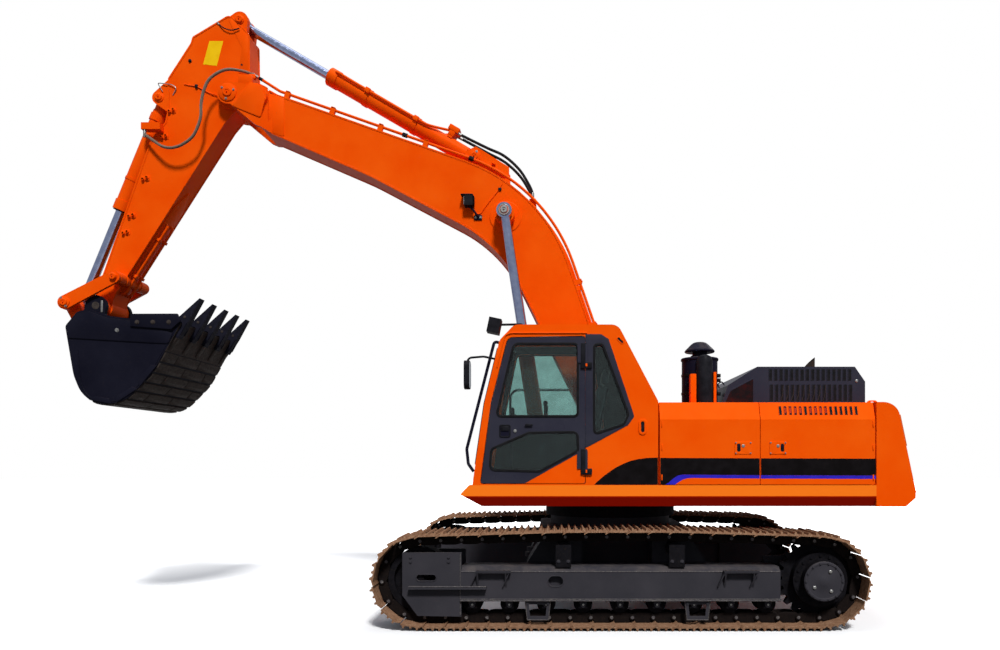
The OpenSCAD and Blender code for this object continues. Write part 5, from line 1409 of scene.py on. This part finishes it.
# Arm cylinder: a pipe along each side, two bands with saddles, the port at the hose end; screws on all heads
ARM_BASE, ARM_ROD = Vector((-1645, 5410)), Vector((-4480, 7060))
BOOM_BASE, BOOM_ROD = Vector((-780, 1450)), Vector((-1265, 4660))
BUCKET_BASE, BUCKET_ROD = Vector((-5450, 6120)), Vector((-6480, 3610))


def on_cylinder(base, rod, along, out, y=0.0):
    """A point by a cylinder: millimetres along it from its base pin, and outwards on the side of its pipe."""
    d = (rod - base).normalized()
    n = Vector((-d.y, d.x))
    if n.y < 0:
        n = -n
    p = base + d * along + n * out
    return at(p.x, y, p.y)


def cylinder_band(name, base, rod, along, radius, width, thick=0.008):
    """A flat band round a barrel."""
    w = width / 1000
    profile = [(radius - 0.004, 0), (radius + thick, 0), (radius + thick, w), (radius - 0.004, w)]
    ring = turned(name, profile, Vector((0, 0, 0)))
    axis = (on_cylinder(base, rod, 1000, 0) - on_cylinder(base, rod, 0, 0)).normalized()
    turn = Vector((0, 0, 1)).rotation_difference(axis).to_matrix().to_4x4()
    ring.data.transform(Matrix.Translation(on_cylinder(base, rod, along, 0)) @ turn)
    return ring


def gland_screws(base, rod, length, radius, y=0.0):
    """Socket screws round the face of a cylinder's head."""
    count = 10
    axis = (on_cylinder(base, rod, 1, 0) - on_cylinder(base, rod, 0, 0)).normalized()
    side = Vector((0, 1, 0))
    up = axis.cross(side)
    centre = on_cylinder(base, rod, length, 0, y)
    parts = []
    for i in range(count):
        a = 2 * math.pi * i / count
        p = centre + (side * math.cos(a) + up * math.sin(a)) * radius
        parts.append(drum("screw", p, p + axis * 0.012, 0.011, sides=12, bevel=0.002))
    return parts


def set_on_arm_barrel(part, along, out, y=0.0):
    """Moves a part made at the origin onto the arm cylinder's barrel and turns it along it."""
    d = (ARM_ROD - ARM_BASE).normalized()
    place = Matrix.Translation(on_cylinder(ARM_BASE, ARM_ROD, along, out, y))
    part.data.transform(place @ Matrix.Rotation(math.atan2(d.y, -d.x), 4, "Y"))


pipe = [on_cylinder(ARM_BASE, ARM_ROD, s, out, y) for s, out, y in
        ((1995, 66, -70), (1965, 58, -114), (1500, 52, -114), (700, 52, -114), (560, 96, -100),
         (440, 150, -62))]
both(tube("arm_cylinder_pipe", curved(pipe, 0.05), 0.032), "arm_cylinder", boom_enamel)
bands = [cylinder_band("band", ARM_BASE, ARM_ROD, s, 0.100, 60) for s in (820, 1500)]
for s, y in ((820, -114), (820, 114), (1500, -114), (1500, 114)):
    saddle = block("saddle", Vector((-0.032, -0.022, -0.03)), Vector((0.032, 0.022, 0.03)), 0.006)
    set_on_arm_barrel(saddle, s + 30, 52, y)
    bands.append(saddle)
fitted(joined("arm_cylinder_bands", bands), "arm_cylinder", boom_enamel)
post = [block("post", Vector((-0.04, -0.09, 0)), Vector((0.04, 0.09, 0.10)), 0.008),
        block("head", Vector((-0.07, -0.095, 0.06)), Vector((0.07, 0.095, 0.125)), 0.008)]
for part in post:
    set_on_arm_barrel(part, 400, 95)
fitted(joined("arm_cylinder_port", post), "arm_cylinder", boom_enamel)
screws = gland_screws(ARM_BASE, ARM_ROD, 2060, 0.088)
fitted(joined("arm_cylinder_screws", screws), "arm_cylinder", black_bolts)
screws = gland_screws(BUCKET_BASE, BUCKET_ROD, 1430, 0.078)
fitted(joined("bucket_cylinder_screws", screws), "bucket_cylinder", black_bolts)
screws = gland_screws(BOOM_BASE, BOOM_ROD, 1800, 0.078, -418)
both(joined("boom_cylinder_screws", screws), "boom_cylinders", black_bolts)
for name, base, rod, length, radius, y, body in (
        ("arm", ARM_BASE, ARM_ROD, 2060, 0.068, 0, "arm_cylinder"),
        ("bucket", BUCKET_BASE, BUCKET_ROD, 1430, 0.068, 0,
                                                                   "bucket_cylinder"),
        ("boom", BOOM_BASE, BOOM_ROD, 1800, 0.068, -418, "boom_cylinders")):
    wiper_ring = drum(name + "_rod_wiper", on_cylinder(base, rod, length - 2, 0, y),
                      on_cylinder(base, rod, length + 16, 0, y),
                      radius, radius - 0.006, 32, 0.002)
    fit = both if y else fitted
    fit(wiper_ring, body, gasket_rubber)
# Bucket cylinder: one clamp near its base and one near its head
clamp = [cylinder_band("clamp", BUCKET_BASE, BUCKET_ROD, 175, 0.085, 85, thick=0.016),
         cylinder_band("clamp", BUCKET_BASE, BUCKET_ROD, 1010, 0.090, 34, thick=0.006)]
fitted(joined("bucket_cylinder_clamps", clamp), "bucket_cylinder", boom_enamel)

# Clips on the arm's side, each a pair of studs with its nuts, and the grease line with its clip
for x, z in ((-5295, 5954), (-5385, 5640), (-5613, 5137), (-5780, 4687), (-5850, 4485)):
    parts = []
    for dx in (-22, 26):
        parts.append(drum("stud", at(x + dx, ARM_SIDE + 1, z + dx * 0.4),
                          at(x + dx, ARM_SIDE - 34, z + dx * 0.4), 0.011, sides=12))
        parts.append(drum("nut", at(x + dx, ARM_SIDE - 20, z + dx * 0.4),
                          at(x + dx, ARM_SIDE - 34, z + dx * 0.4), 0.019, sides=6,
                          bevel=0.002))
    parts.append(block("foot", at(x - 48, ARM_SIDE - 9, z - 26), at(x + 52, ARM_SIDE + 1, z + 28), 0.004))
    clip = joined("arm_clip_" + str(abs(x)), parts)
    both(clip, "arm_body", boom_enamel)
grease = tube("grease_line", curved([at(-5144, -160, 6273), at(-4993, -162, 6247), at(-4810, -166, 6153),
                                     at(-4700, -170, 6130)], 0.04), 0.012, sides=8)
both(grease, "arm_body", boom_enamel)
both(block("grease_clip", at(-5010, -176, 6225), at(-4978, -155, 6268), 0.004), "arm_body", black_bolts,
     "black_plastic")
loop = tube("grease_loop",
            curved([at(-5401, -160, 6184), at(-5464, -166, 6289), at(-5281, -172, 6264),
                    at(-5229, -172, 6224),
                                   at(-5281, -158, 6143)], 0.035), 0.011, sides=8)
both(loop, "arm_body", zinc_plate)
top_line = tube("arm_head_grease_line",
                curved([at(-4729, -160, 7004), at(-4665, -178, 6944), at(-4568, -182, 6908),
                                                at(-4472, -176, 6940)], 0.05), 0.014, sides=8)
both(top_line, "arm_body", hose_rubber)
both(drum("grease_fitting", at(-4745, -160, 7018), at(-4715, -160, 6992), 0.012, sides=6, bevel=0.002),
     "arm_body", zinc_plate)

# Blank yellow label
label = side_plate("arm_label", [(-4841, 6799), (-4673, 6799), (-4751, 6499), (-4918, 6516)], ARM_SIDE - 1.4,
                   ARM_SIDE)
both(label, "arm_body", yellow_vinyl)

# Wear plate and the two pipes under the arm, down to the bucket
RUN = (Vector((-5165, 5017)), Vector((-5975, 3745)))


def under_arm(share, out, y):
    """A point under the arm: share of the way down its lower face, millimetres out from it."""
    a, b = RUN
    d = (b - a).normalized()
    n = Vector((-d.y, d.x))
    p = a.lerp(b, share) + n * out
    return at(p.x, y, p.y)


wear = sheet_metal("arm_wear_plate", [under_arm(s, 0, y) for s, y in
                                      ((0.0, 0), (0.16, -110), (0.97, -110), (0.97, 110), (0.16, 110))],
                   under_arm(0, 14, 0) - under_arm(0, 0, 0), 0.003)
fitted(wear, "arm_body", boom_enamel)
both(tube("arm_lower_pipe", [under_arm(s, out, -62) for s, out in
                             ((0.31, 6), (0.325, 40), (0.34, 44), (0.95, 44), (0.97, 38), (0.985, 8))],
          0.034), "arm_body",
     boom_enamel)
holders = []
for share in (0.45, 0.8):
    holders.append(sheet_metal("holder", [under_arm(share - 0.012, 0, -92), under_arm(share + 0.012, 0, -92),
                                          under_arm(share + 0.012, 0, -32), under_arm(share - 0.012, 0, -32)],
                               under_arm(0, 66, 0) - under_arm(0, 0, 0), 0.004))
both(joined("lower_pipe_holders", holders), "arm_body", boom_enamel)

# Work lamp on the boom: reflector and lens, visor, stalk and its cable with a clip
glass = block("boom_lamp_lens", at(-1757, -300, 4780), at(-1748, -222, 4880), 0.004, segments=3)
fitted(glass, "boom_body", lamp_lens)
visor = sheet_metal("boom_lamp_visor", [at(-1790, -314, 4893), at(-1645, -314, 4893), at(-1645, -206, 4893),
                                        at(-1790, -206, 4893)], (0, 0, 0.01), 0.002)
fins = [block("fin", at(-1650, -308, z), at(-1632, -214, z + 7), 0.002) for z in range(4780, 4880, 16)]
fitted(joined("boom_lamp_visor", [visor] + fins), "boom_body", moulded_plastic)
stalk = tube("boom_lamp_stalk",
             curved([at(-1690, -258, 4775), at(-1640, -258, 4720), at(-1600, -240, 4662),
                     at(-1592, -198, 4650)],
                                       0.05), 0.026)
foot = block("foot", at(-1640, -214, 4620), at(-1545, -199, 4680), 0.004)
fitted(joined("boom_lamp_stalk", [stalk, foot]), "boom_body", black_enamel, "black_steel")
bolts("boom_lamp_screws", [[-1622, -214, 4650], [-1562, -214, 4650]], "boom_body", "left", 0.011, zinc_plate,
      "black_steel")
wire = tube("boom_lamp_cable",
            curved([at(-1604, -212, 4690), at(-1560, -207, 4700), at(-1470, -207, 4830),
                    at(-1340, -207, 4990),
                                       at(-1305, -204, 5060)], 0.06), 0.012, sides=8)
fitted(wire, "boom_body", boom_enamel)
fitted(block("cable_clip", at(-1352, -216, 4975), at(-1312, -199, 5010), 0.004), "boom_body", black_bolts,
       "black_plastic")

# High-pressure hoses: rubber with crimped ends, in a woven sleeve where they rub
HOSE = 0.034
arm_hose_route = [
    (-4242, -177, 6347.5), (-4300, -180, 6378), (-4427, -250, 6392), (-4575, -330, 6362), (-4739, -350, 6256),
    (-4813, -352, 6122), (-4850, -350, 5960), (-4862, -346, 5781), (-4947, -335, 5588), (-5080, -325, 5484),
    (-5214, -312, 5447), (-5333, -295, 5469), (-5452, -268, 5545), (-5540, -242, 5610), (-5578, -231, 5640),
    (-5580, -231, 5691)]
cylinder_hose_route = [
    (-1880, -60, 5740), (-1790, -62, 5690), (-1500, -80, 5540), (-1290, -100, 5435), (-1110, -110, 5272),
    (-1000, -115, 5104), (-945, -115, 4984), (-940, -115, 4895)]


def smooth_path(points, parts):
    """Points of a smooth line through the given ones, each stretch cut into parts."""
    knots = [points[0]] + list(points) + [points[-1]]
    path = []
    for a, b, c, d in zip(knots, knots[1:], knots[2:], knots[3:]):
        for i in range(parts):
            t = i / parts
            path.append(0.5 * (2 * b + (c - a) * t + (2 * a - 5 * b + 4 * c - d) * t * t
                               + (3 * b - a - 3 * c + d) * t * t * t))
    return path + [points[-1]]


def hose(name, route, side, material, bodies):
    """One hose with its crimped end fittings, left (-1) or right (1); its end fittings go on the two bodies.
    """
    path = smooth_path([at(x, -side * y, z) for x, y, z in route], 6)
    fittings = []
    for tip, inner in ((path[0], path[4]), (path[-1], path[-5])):
        d = (inner - tip).normalized()
        fittings.append(drum("crimp", tip + d * 0.002, tip + d * 0.085, HOSE / 2 + 0.001, sides=20,
                             bevel=0.002))
        fittings.append(drum("nut", tip - d * 0.004, tip + d * 0.03, HOSE / 2 + 0.002, sides=6, bevel=0.002))
    first, last = joined(name + "_first_end", fittings[:2]), joined(name + "_last_end", fittings[2:])
    fitted(first, bodies[0], zinc_plate)
    fitted(last, bodies[1], zinc_plate)
    piece = tube(name, path, HOSE, sides=16)
    piece.data.materials.clear()
    piece.data.materials.append(material)
    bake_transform(piece)
    return piece


for side, label in ((-1, "left"), (1, "right")):
    arm_hose = hose("arm_hose_" + label, arm_hose_route, side, hose_sleeve, ("boom_body", "arm_body"))
    cylinder_hose = hose("arm_cylinder_hose_" + label, cylinder_hose_route, side, hose_rubber,
                         ("arm_cylinder", "boom_body"))
    if side == -1:
        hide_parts("arm_hoses")
        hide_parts("arm_cylinder_hoses")

# ---------- bucket ----------

HALF_BUCKET = 730
LIP = Vector((-4905, 3300))
LIP_ALONG = (LIP - Vector((-5230, 2720))).normalized()
LIP_UP = Vector((-LIP_ALONG.y, LIP_ALONG.x))
bucket_shell = rounded_loop([[-4905, 3300, 0], [-6035, 3390, 0], [-6095, 3060, 300], [-6070, 2700, 400],
                             [-5985, 2370, 280], [-5560, 2385, 400], [-5230, 2720, 500]], 16)
under_shell = [Vector(bucket_shell[0])] + [Vector(p) for p in bucket_shell[:0:-1]]


def on_shell(s, out=0.0):
    """A point on the bucket's outside: s mm from the lip round its underside, standing out by so many mm."""
    for a, b in zip(under_shell, under_shell[1:]):
        step = (b - a).length
        if s <= step:
            break
        s -= step
    d = (b - a).normalized()
    n = Vector((-d.y, d.x))
    if n.dot(a - Vector((-5600, 2950))) < 0:
        n = -n
    return a + d * min(s, step) + n * out


# Wear strips across the underside: rows of bars with staggered joints
rows = []
for row in range(9):
    s = 380 + 140 * row
    joints = (-722, -120, 420, 722) if row % 2 else (-722, -420, 130, 722)
    for y0, y1 in zip(joints, joints[1:]):
        section = [on_shell(s, -2), on_shell(s + 6, 16), on_shell(s + 62, 17), on_shell(s + 112, 16),
                   on_shell(s + 120, -2)]
        rows.append(sheet_metal("bar", [at(p.x, y0 + 7, p.y) for p in section],
                                (0, (y1 - y0 - 14) / 1000, 0), 0.002, 1))
rows.append(sheet_metal("lip_plate",
                        [at(p.x, -726, p.y) for p in (on_shell(8, -2), on_shell(8, 4), on_shell(372, 4),
                                                                   on_shell(372, -2))], (0, 1.452, 0), 0.001,
                        1))
fitted(joined("bucket_wear_bars", rows), "bucket_body", worn_steel)

# Heel edges: a hardened strip on each lower corner of the side plates, and weld beads along the shell
for along, width in ((560, 300), (900, 300), (1240, 260)):
    corners = [on_shell(along, 6), on_shell(along + width, 6), on_shell(along + width - 30, -58),
               on_shell(along + 30, -58)]
    strip = side_plate("bucket_heel_strip_" + str(along), [(p.x, p.y) for p in corners], -HALF_BUCKET - 14,
                       -HALF_BUCKET + 1, 0.003)
    both(strip, "bucket_body", bucket_paint)
bead = tube("bucket_side_weld",
            [side_point(on_shell(40 * i + 60, -20), -HALF_BUCKET - 1) for i in range(52)], 0.012, sides=8)
both(bead, "bucket_body", bucket_paint)

# Upper doubler of each side, with its straight lower edge and one bolt, and the side cutter with three bolts
doubler = side_plate("bucket_side_doubler", rounded_loop([
    [-6175, 3122, 20], [-5240, 3068, 0], [-5045, 3060, 30], [-4990, 3175, 30], [-5480, 3318, 0],
    [-5735, 3350, 0],
    [-5950, 3425, 30], [-6072, 3395, 50], [-6195, 3250, 50]]), -HALF_BUCKET - 13, -HALF_BUCKET + 1, 0.003)
both(doubler, "bucket_body", bucket_paint)
cutter = side_plate("side_cutter", rounded_loop([
    [-5450, 3392, 12], [-5470, 3250, 20], [-5000, 3215, 30], [-4893, 3310, 10], [-4930, 3394, 12]]),
    -HALF_BUCKET - 36, -HALF_BUCKET - 4, 0.008)
both(cutter, "bucket_body", bucket_paint)
for side, facing in ((-1, "left"), (1, "right")):
    bolts("cutter_bolts_" + facing, [[x, side * 766, 3296] for x in (-5381, -5203, -5024)], "bucket_body",
          facing, 0.019,
          worn_steel, "bucket_steel")
    bolts("doubler_bolt_" + facing, [[-5621, side * 743, 3209]], "bucket_body", facing, 0.017, zinc_plate,
          "bucket_steel")

# Teeth: a retaining pin through each, a weld at its foot, and the adapter's leg that tapers out under the lip
def by_lip(along, up):
    p = LIP + LIP_ALONG * along + LIP_UP * up
    return p.x, p.y


tooth_pins, tooth_welds, legs = [], [], []
for i in range(5):
    y0 = -700 + 325 * i
    x, z = by_lip(70, 6)
    tooth_pins.append(drum("pin", at(x, y0 - 5, z), at(x, y0 + 105, z), 0.016, sides=16, bevel=0.003))
    x0, z0 = by_lip(-168, -30)
    tooth_welds.append(tube("weld", [at(x0, y0 - 2, z0), at(x0, y0 + 102, z0)], 0.024, sides=8))
    for up in (-46, 62):
        edge = [by_lip(s, up) for s in (-130, 30)]
        tooth_welds += [tube("weld", [at(x, y, z) for x, z in edge], 0.012, sides=6) for y in (y0, y0 + 100)]
    profile = [by_lip(*p) for p in ((-345, 0), (-345, -10), (-170, -30), (10, -46), (10, -6))]
    legs.append(side_plate("leg", profile, y0 + 10, y0 + 90, 0.005))
fitted(joined("tooth_pins", tooth_pins), "bucket_body", worn_steel)
fitted(joined("tooth_welds", tooth_welds), "bucket_body", bucket_paint)
fitted(joined("adapter_legs", legs), "bucket_body", worn_steel)

# ---------- undercarriage ----------

ROLLER_X = [-1520 + 380 * i for i in range(9)]
ROLLER_Z = round(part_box("track_rollers")[0][2] * 1000) + 96
FRAME_SIDE = -1555
DRIVE_X = WHEELBASE // 2

# End of each lower roller: its lock plate with two screws and the oil plug
caps = []
for x in ROLLER_X:
    y = -1521
    caps.append(side_plate("lock", rounded_loop([[x - 44, ROLLER_Z + 8, 8], [x + 44, ROLLER_Z + 8, 8],
                                                 [x + 24, ROLLER_Z + 44, 8], [x - 24, ROLLER_Z + 44, 8]]),
                           y - 12, y + 1, 0.003))
    caps += [drum("screw", at(x + dx, y - 10, ROLLER_Z + 24), at(x + dx, y - 24, ROLLER_Z + 24), 0.011,
                  sides=6) for dx in (-24, 24)]
    caps.append(drum("plug", at(x, -1504, ROLLER_Z), at(x, -1530, ROLLER_Z), 0.034, 0.030, 24, 0.003))
both(joined("roller_lock_plates", caps), "undercarriage", chassis_enamel)
plugs = [drum("plug", at(x, -1529, ROLLER_Z), at(x, -1534, ROLLER_Z), 0.012, sides=6,
              bevel=0.001) for x in ROLLER_X]
both(joined("roller_plugs", plugs), "undercarriage", zinc_plate, "running_gear")

# Steps: a slanted cheek at each end of the tread, a toe plate and a row of cleats
for i, x in enumerate((-1300, 1230)):
    sides = [sheet_metal("cheek",
                         [at(x0, -1556, 604), at(x0, -1624, 604), at(x0 - 70, -1580, 440),
                          at(x0 - 70, -1556, 440)],
                         (0.012, 0, 0), 0.002) for x0 in (x - 172, x + 160)]
    toe = sheet_metal("toe",
                      [at(x - 172, -1624, 590), at(x + 172, -1624, 590), at(x + 172, -1630, 616),
                       at(x - 172, -1630, 616)],
                      (0, 0.012, 0), 0.003)
    both(joined("step_" + str(i + 1), sides + [toe]), "undercarriage", chassis_enamel, "chassis_paint")
    cleats = [block("cleat", at(x - 165 + 44 * k, -1620, 611), at(x - 145 + 44 * k, -1570, 616),
                    0.002) for k in range(8)]
    both(joined("step_cleats_" + str(i + 1), cleats), "undercarriage", worn_steel, "chassis_paint")

# Weld beads along the edges of the track frame, in light grey
edges = [tube("edge", [at(-1635, -1583.5, z), at(1635, -1583.5, z)], 0.010, sides=6) for z in (302, 318)]
edges.append(tube("edge", [at(-1635, FRAME_SIDE - 1, 597), at(1635, FRAME_SIDE - 1, 597)], 0.010, sides=6))
edges.append(tube("edge", [at(-1640, -1553, 150), at(-1640, -1553, 780)], 0.012, sides=6))
both(joined("frame_edges", edges), "undercarriage", pale_grey_metal)
ledge = tube("shelf_edge", [at(-2160, -1625, 452), at(-1372, -1625, 452)], 0.010, sides=6)
both(ledge, "undercarriage", pale_grey_metal)
rims = [framed_plate("rim",
                     rounded_rect(x - w / 2 - 9, z - h / 2 - 9, x + w / 2 + 9, z + h / 2 + 9, h / 2 + 8),
                     rounded_rect(x - w / 2, z - h / 2, x + w / 2, z + h / 2, h / 2 - 1), y - 5, y + 2, 0.002)
        for x, z, w, h, y in ((-663, 497, 150, 105, FRAME_SIDE), (-1990, 533, 197, 62, -1552))]
both(joined("opening_rims", rims), "undercarriage", chassis_enamel, "chassis_paint")
for facing, y in (("left", -1554), ("right", 1554)):
    bolts("guard_bolts_" + facing, [[x + dx, y, 272] for x in (-846, 790) for dx in (-104, 104)],
          "undercarriage", facing,
          0.014, chassis_enamel)
    bolts("idler_guide_bolts_" + facing, [[x, y, z] for x in (-2150, -1760) for z in (700, 745)],
          "undercarriage", facing, 0.014,
          chassis_enamel)
guards = [tube("guard_edge",
               [at(x - 130, -1554, 300), at(x - 108, -1554, 102), at(x + 108, -1554, 102),
                at(x + 130, -1554, 300)],
               0.012, sides=6) for x in (-846, 790)]
both(joined("guard_edges", guards), "undercarriage", pale_grey_metal)

# Final drive: cover with a raised rim, its screws and three oil plugs; screws round the sprocket
cover = left_turned("drive_cover",
                    [(0, -0.004), (0.205, -0.004), (0.205, 0.008), (0.196, 0.016), (0.178, 0.016),
                     (0.172, 0.011),
                                    (0.06, 0.011), (0.05, 0.017), (0, 0.017)], DRIVE_X, -1602, AXLE_Z, 64)
both(cover, "undercarriage", chassis_enamel)
plugs = [left_turned("plug", [(0, 0.008), (0.017, 0.008), (0.017, 0.022), (0.012, 0.025), (0, 0.025)],
                     DRIVE_X + 118 * math.cos(a),
                     -1602, AXLE_Z + 118 * math.sin(a), 20) for a in (math.radians(60), math.radians(210),
                                                                      math.radians(305))]
both(joined("drive_plugs", plugs), "undercarriage", zinc_plate, "running_gear")
for facing, side in (("left", -1), ("right", 1)):
    bolts("drive_cover_screws_" + facing,
          [[x, side * 1618, z] for x, z in ring_of(DRIVE_X, AXLE_Z, 187, 14)], "undercarriage", facing, 0.010,
          chassis_enamel, "running_gear")
    bolts("sprocket_screws_" + facing, [[x, side * 1490, z] for x, z in ring_of(DRIVE_X, AXLE_Z, 248, 16)],
          "undercarriage", facing, 0.017,
          greased_iron, "running_gear")

# Carrier rollers' brackets: clamp caps with their bolts
for facing, side in (("left", -1), ("right", 1)):
    bolts("carrier_bolts_" + facing,
          [[x + dx, side * 1540, 700] for x in (-CARRIER_X, CARRIER_X) for dx in (-50, 50)], "undercarriage",
          facing, 0.014, chassis_enamel)

# The slew ring's bolts
slew_bolts = ring_of(0, 0, 640, 30)
SLEW_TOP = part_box("lower_frame")[1][2] * 1000
bolts("slew_bolts", [[x, y, SLEW_TOP] for x, y in slew_bolts], "undercarriage", "up", 0.016, black_bolts)

# ---------- studio ----------

scene = bpy.context.scene
scene.view_settings.view_transform = "Standard"


def seen(tree):
    """1 for the camera, also through glass; a part for mirror images; 0 for the light on the machine."""
    rays = add(tree, "LightPath").outputs
    direct = times(tree, rays["Is Camera Ray"], rays["Is Transmission Ray"], "ADD")
    return times(tree, direct, times(tree, rays["Is Glossy Ray"], 0.2), "ADD")


world = bpy.data.worlds.new("studio")
scene.world = world
world.use_nodes = True
sky_tree = world.node_tree
sky = sky_tree.nodes["Background"]
sky_tree.links.new(blend_colour(sky_tree, seen(sky_tree), "#868B94", "#FFFFFF"), sky.inputs["Color"])

# Pale floor: white to the eye, grey as a source of light, so that undersides stay dark
begin()
bpy.ops.mesh.primitive_plane_add(size=120, location=(0, 0, 0))
floor = bpy.context.object
floor.name = "floor"
floor_paint, floor_tree, floor_shader, floor_coords = surface("floor_paint")
floor_tree.links.new(
    blend_colour(floor_tree, seen(floor_tree), "#6A6866", "#FAFAFA"), floor_shader.inputs["Base Color"])
# Far from the machine the floor fades to the white of the backdrop
distance = add(floor_tree, "VectorMath", {"operation": "LENGTH"}, i0=floor_coords).outputs["Value"]
far = times(floor_tree, band(floor_tree, distance, 4.5, 8), seen(floor_tree))
floor_tree.links.new(far, floor_shader.inputs["Emission Strength"])
floor_shader.inputs["Emission Color"].default_value = (1, 1, 1, 1)
floor_shader.inputs["Roughness"].default_value = 0.9
floor_shader.inputs["Specular IOR Level"].default_value = 0.1
floor.data.materials.append(floor_paint)


def lamp(name, place, aim, energy, size, kind="AREA"):
    """A soft lamp: an area lamp of that size in metres, or a sun of that angle in degrees."""
    begin()
    bpy.ops.object.light_add(type=kind, location=place)
    light = bpy.context.object
    light.name = name
    light.data.energy = energy
    if kind == "SUN":
        light.data.angle = math.radians(size)
    else:
        light.data.size = size
    light.rotation_euler = (Vector(aim) - Vector(place)).to_track_quat("-Z", "Y").to_euler()
    return light


lamp("key_lamp", (2.5, -9.5, 11), (0, 0, 0), 3.4, 9, "SUN")
lamp("top_lamp", (2, 1, 16), (0, 0, 2), 500, 10)
lamp("rear_lamp", (9, 10, 9), (0, 0, 0), 0.3, 20, "SUN")

camera_data = bpy.data.cameras.new("photo_camera")
camera_data.sensor_width = 36
camera_data.lens = 27.576
# The camera stays level, so that uprights stay upright, and the shifted lens sets the horizon low
camera_data.shift_x = -0.055
camera_data.shift_y = 0.136
camera = bpy.data.objects.new("photo_camera", camera_data)
scene.collection.objects.link(camera)
CAMERA_AHEAD, CAMERA_LEFT, EYE_HEIGHT = 0.67, 9.4, 1.73  # metres from the slew axis and the ground
camera.location = (SLEW / 1000 - CAMERA_AHEAD, -CAMERA_LEFT, EYE_HEIGHT)
camera.rotation_euler = (math.radians(90), 0, 0)
scene.camera = camera
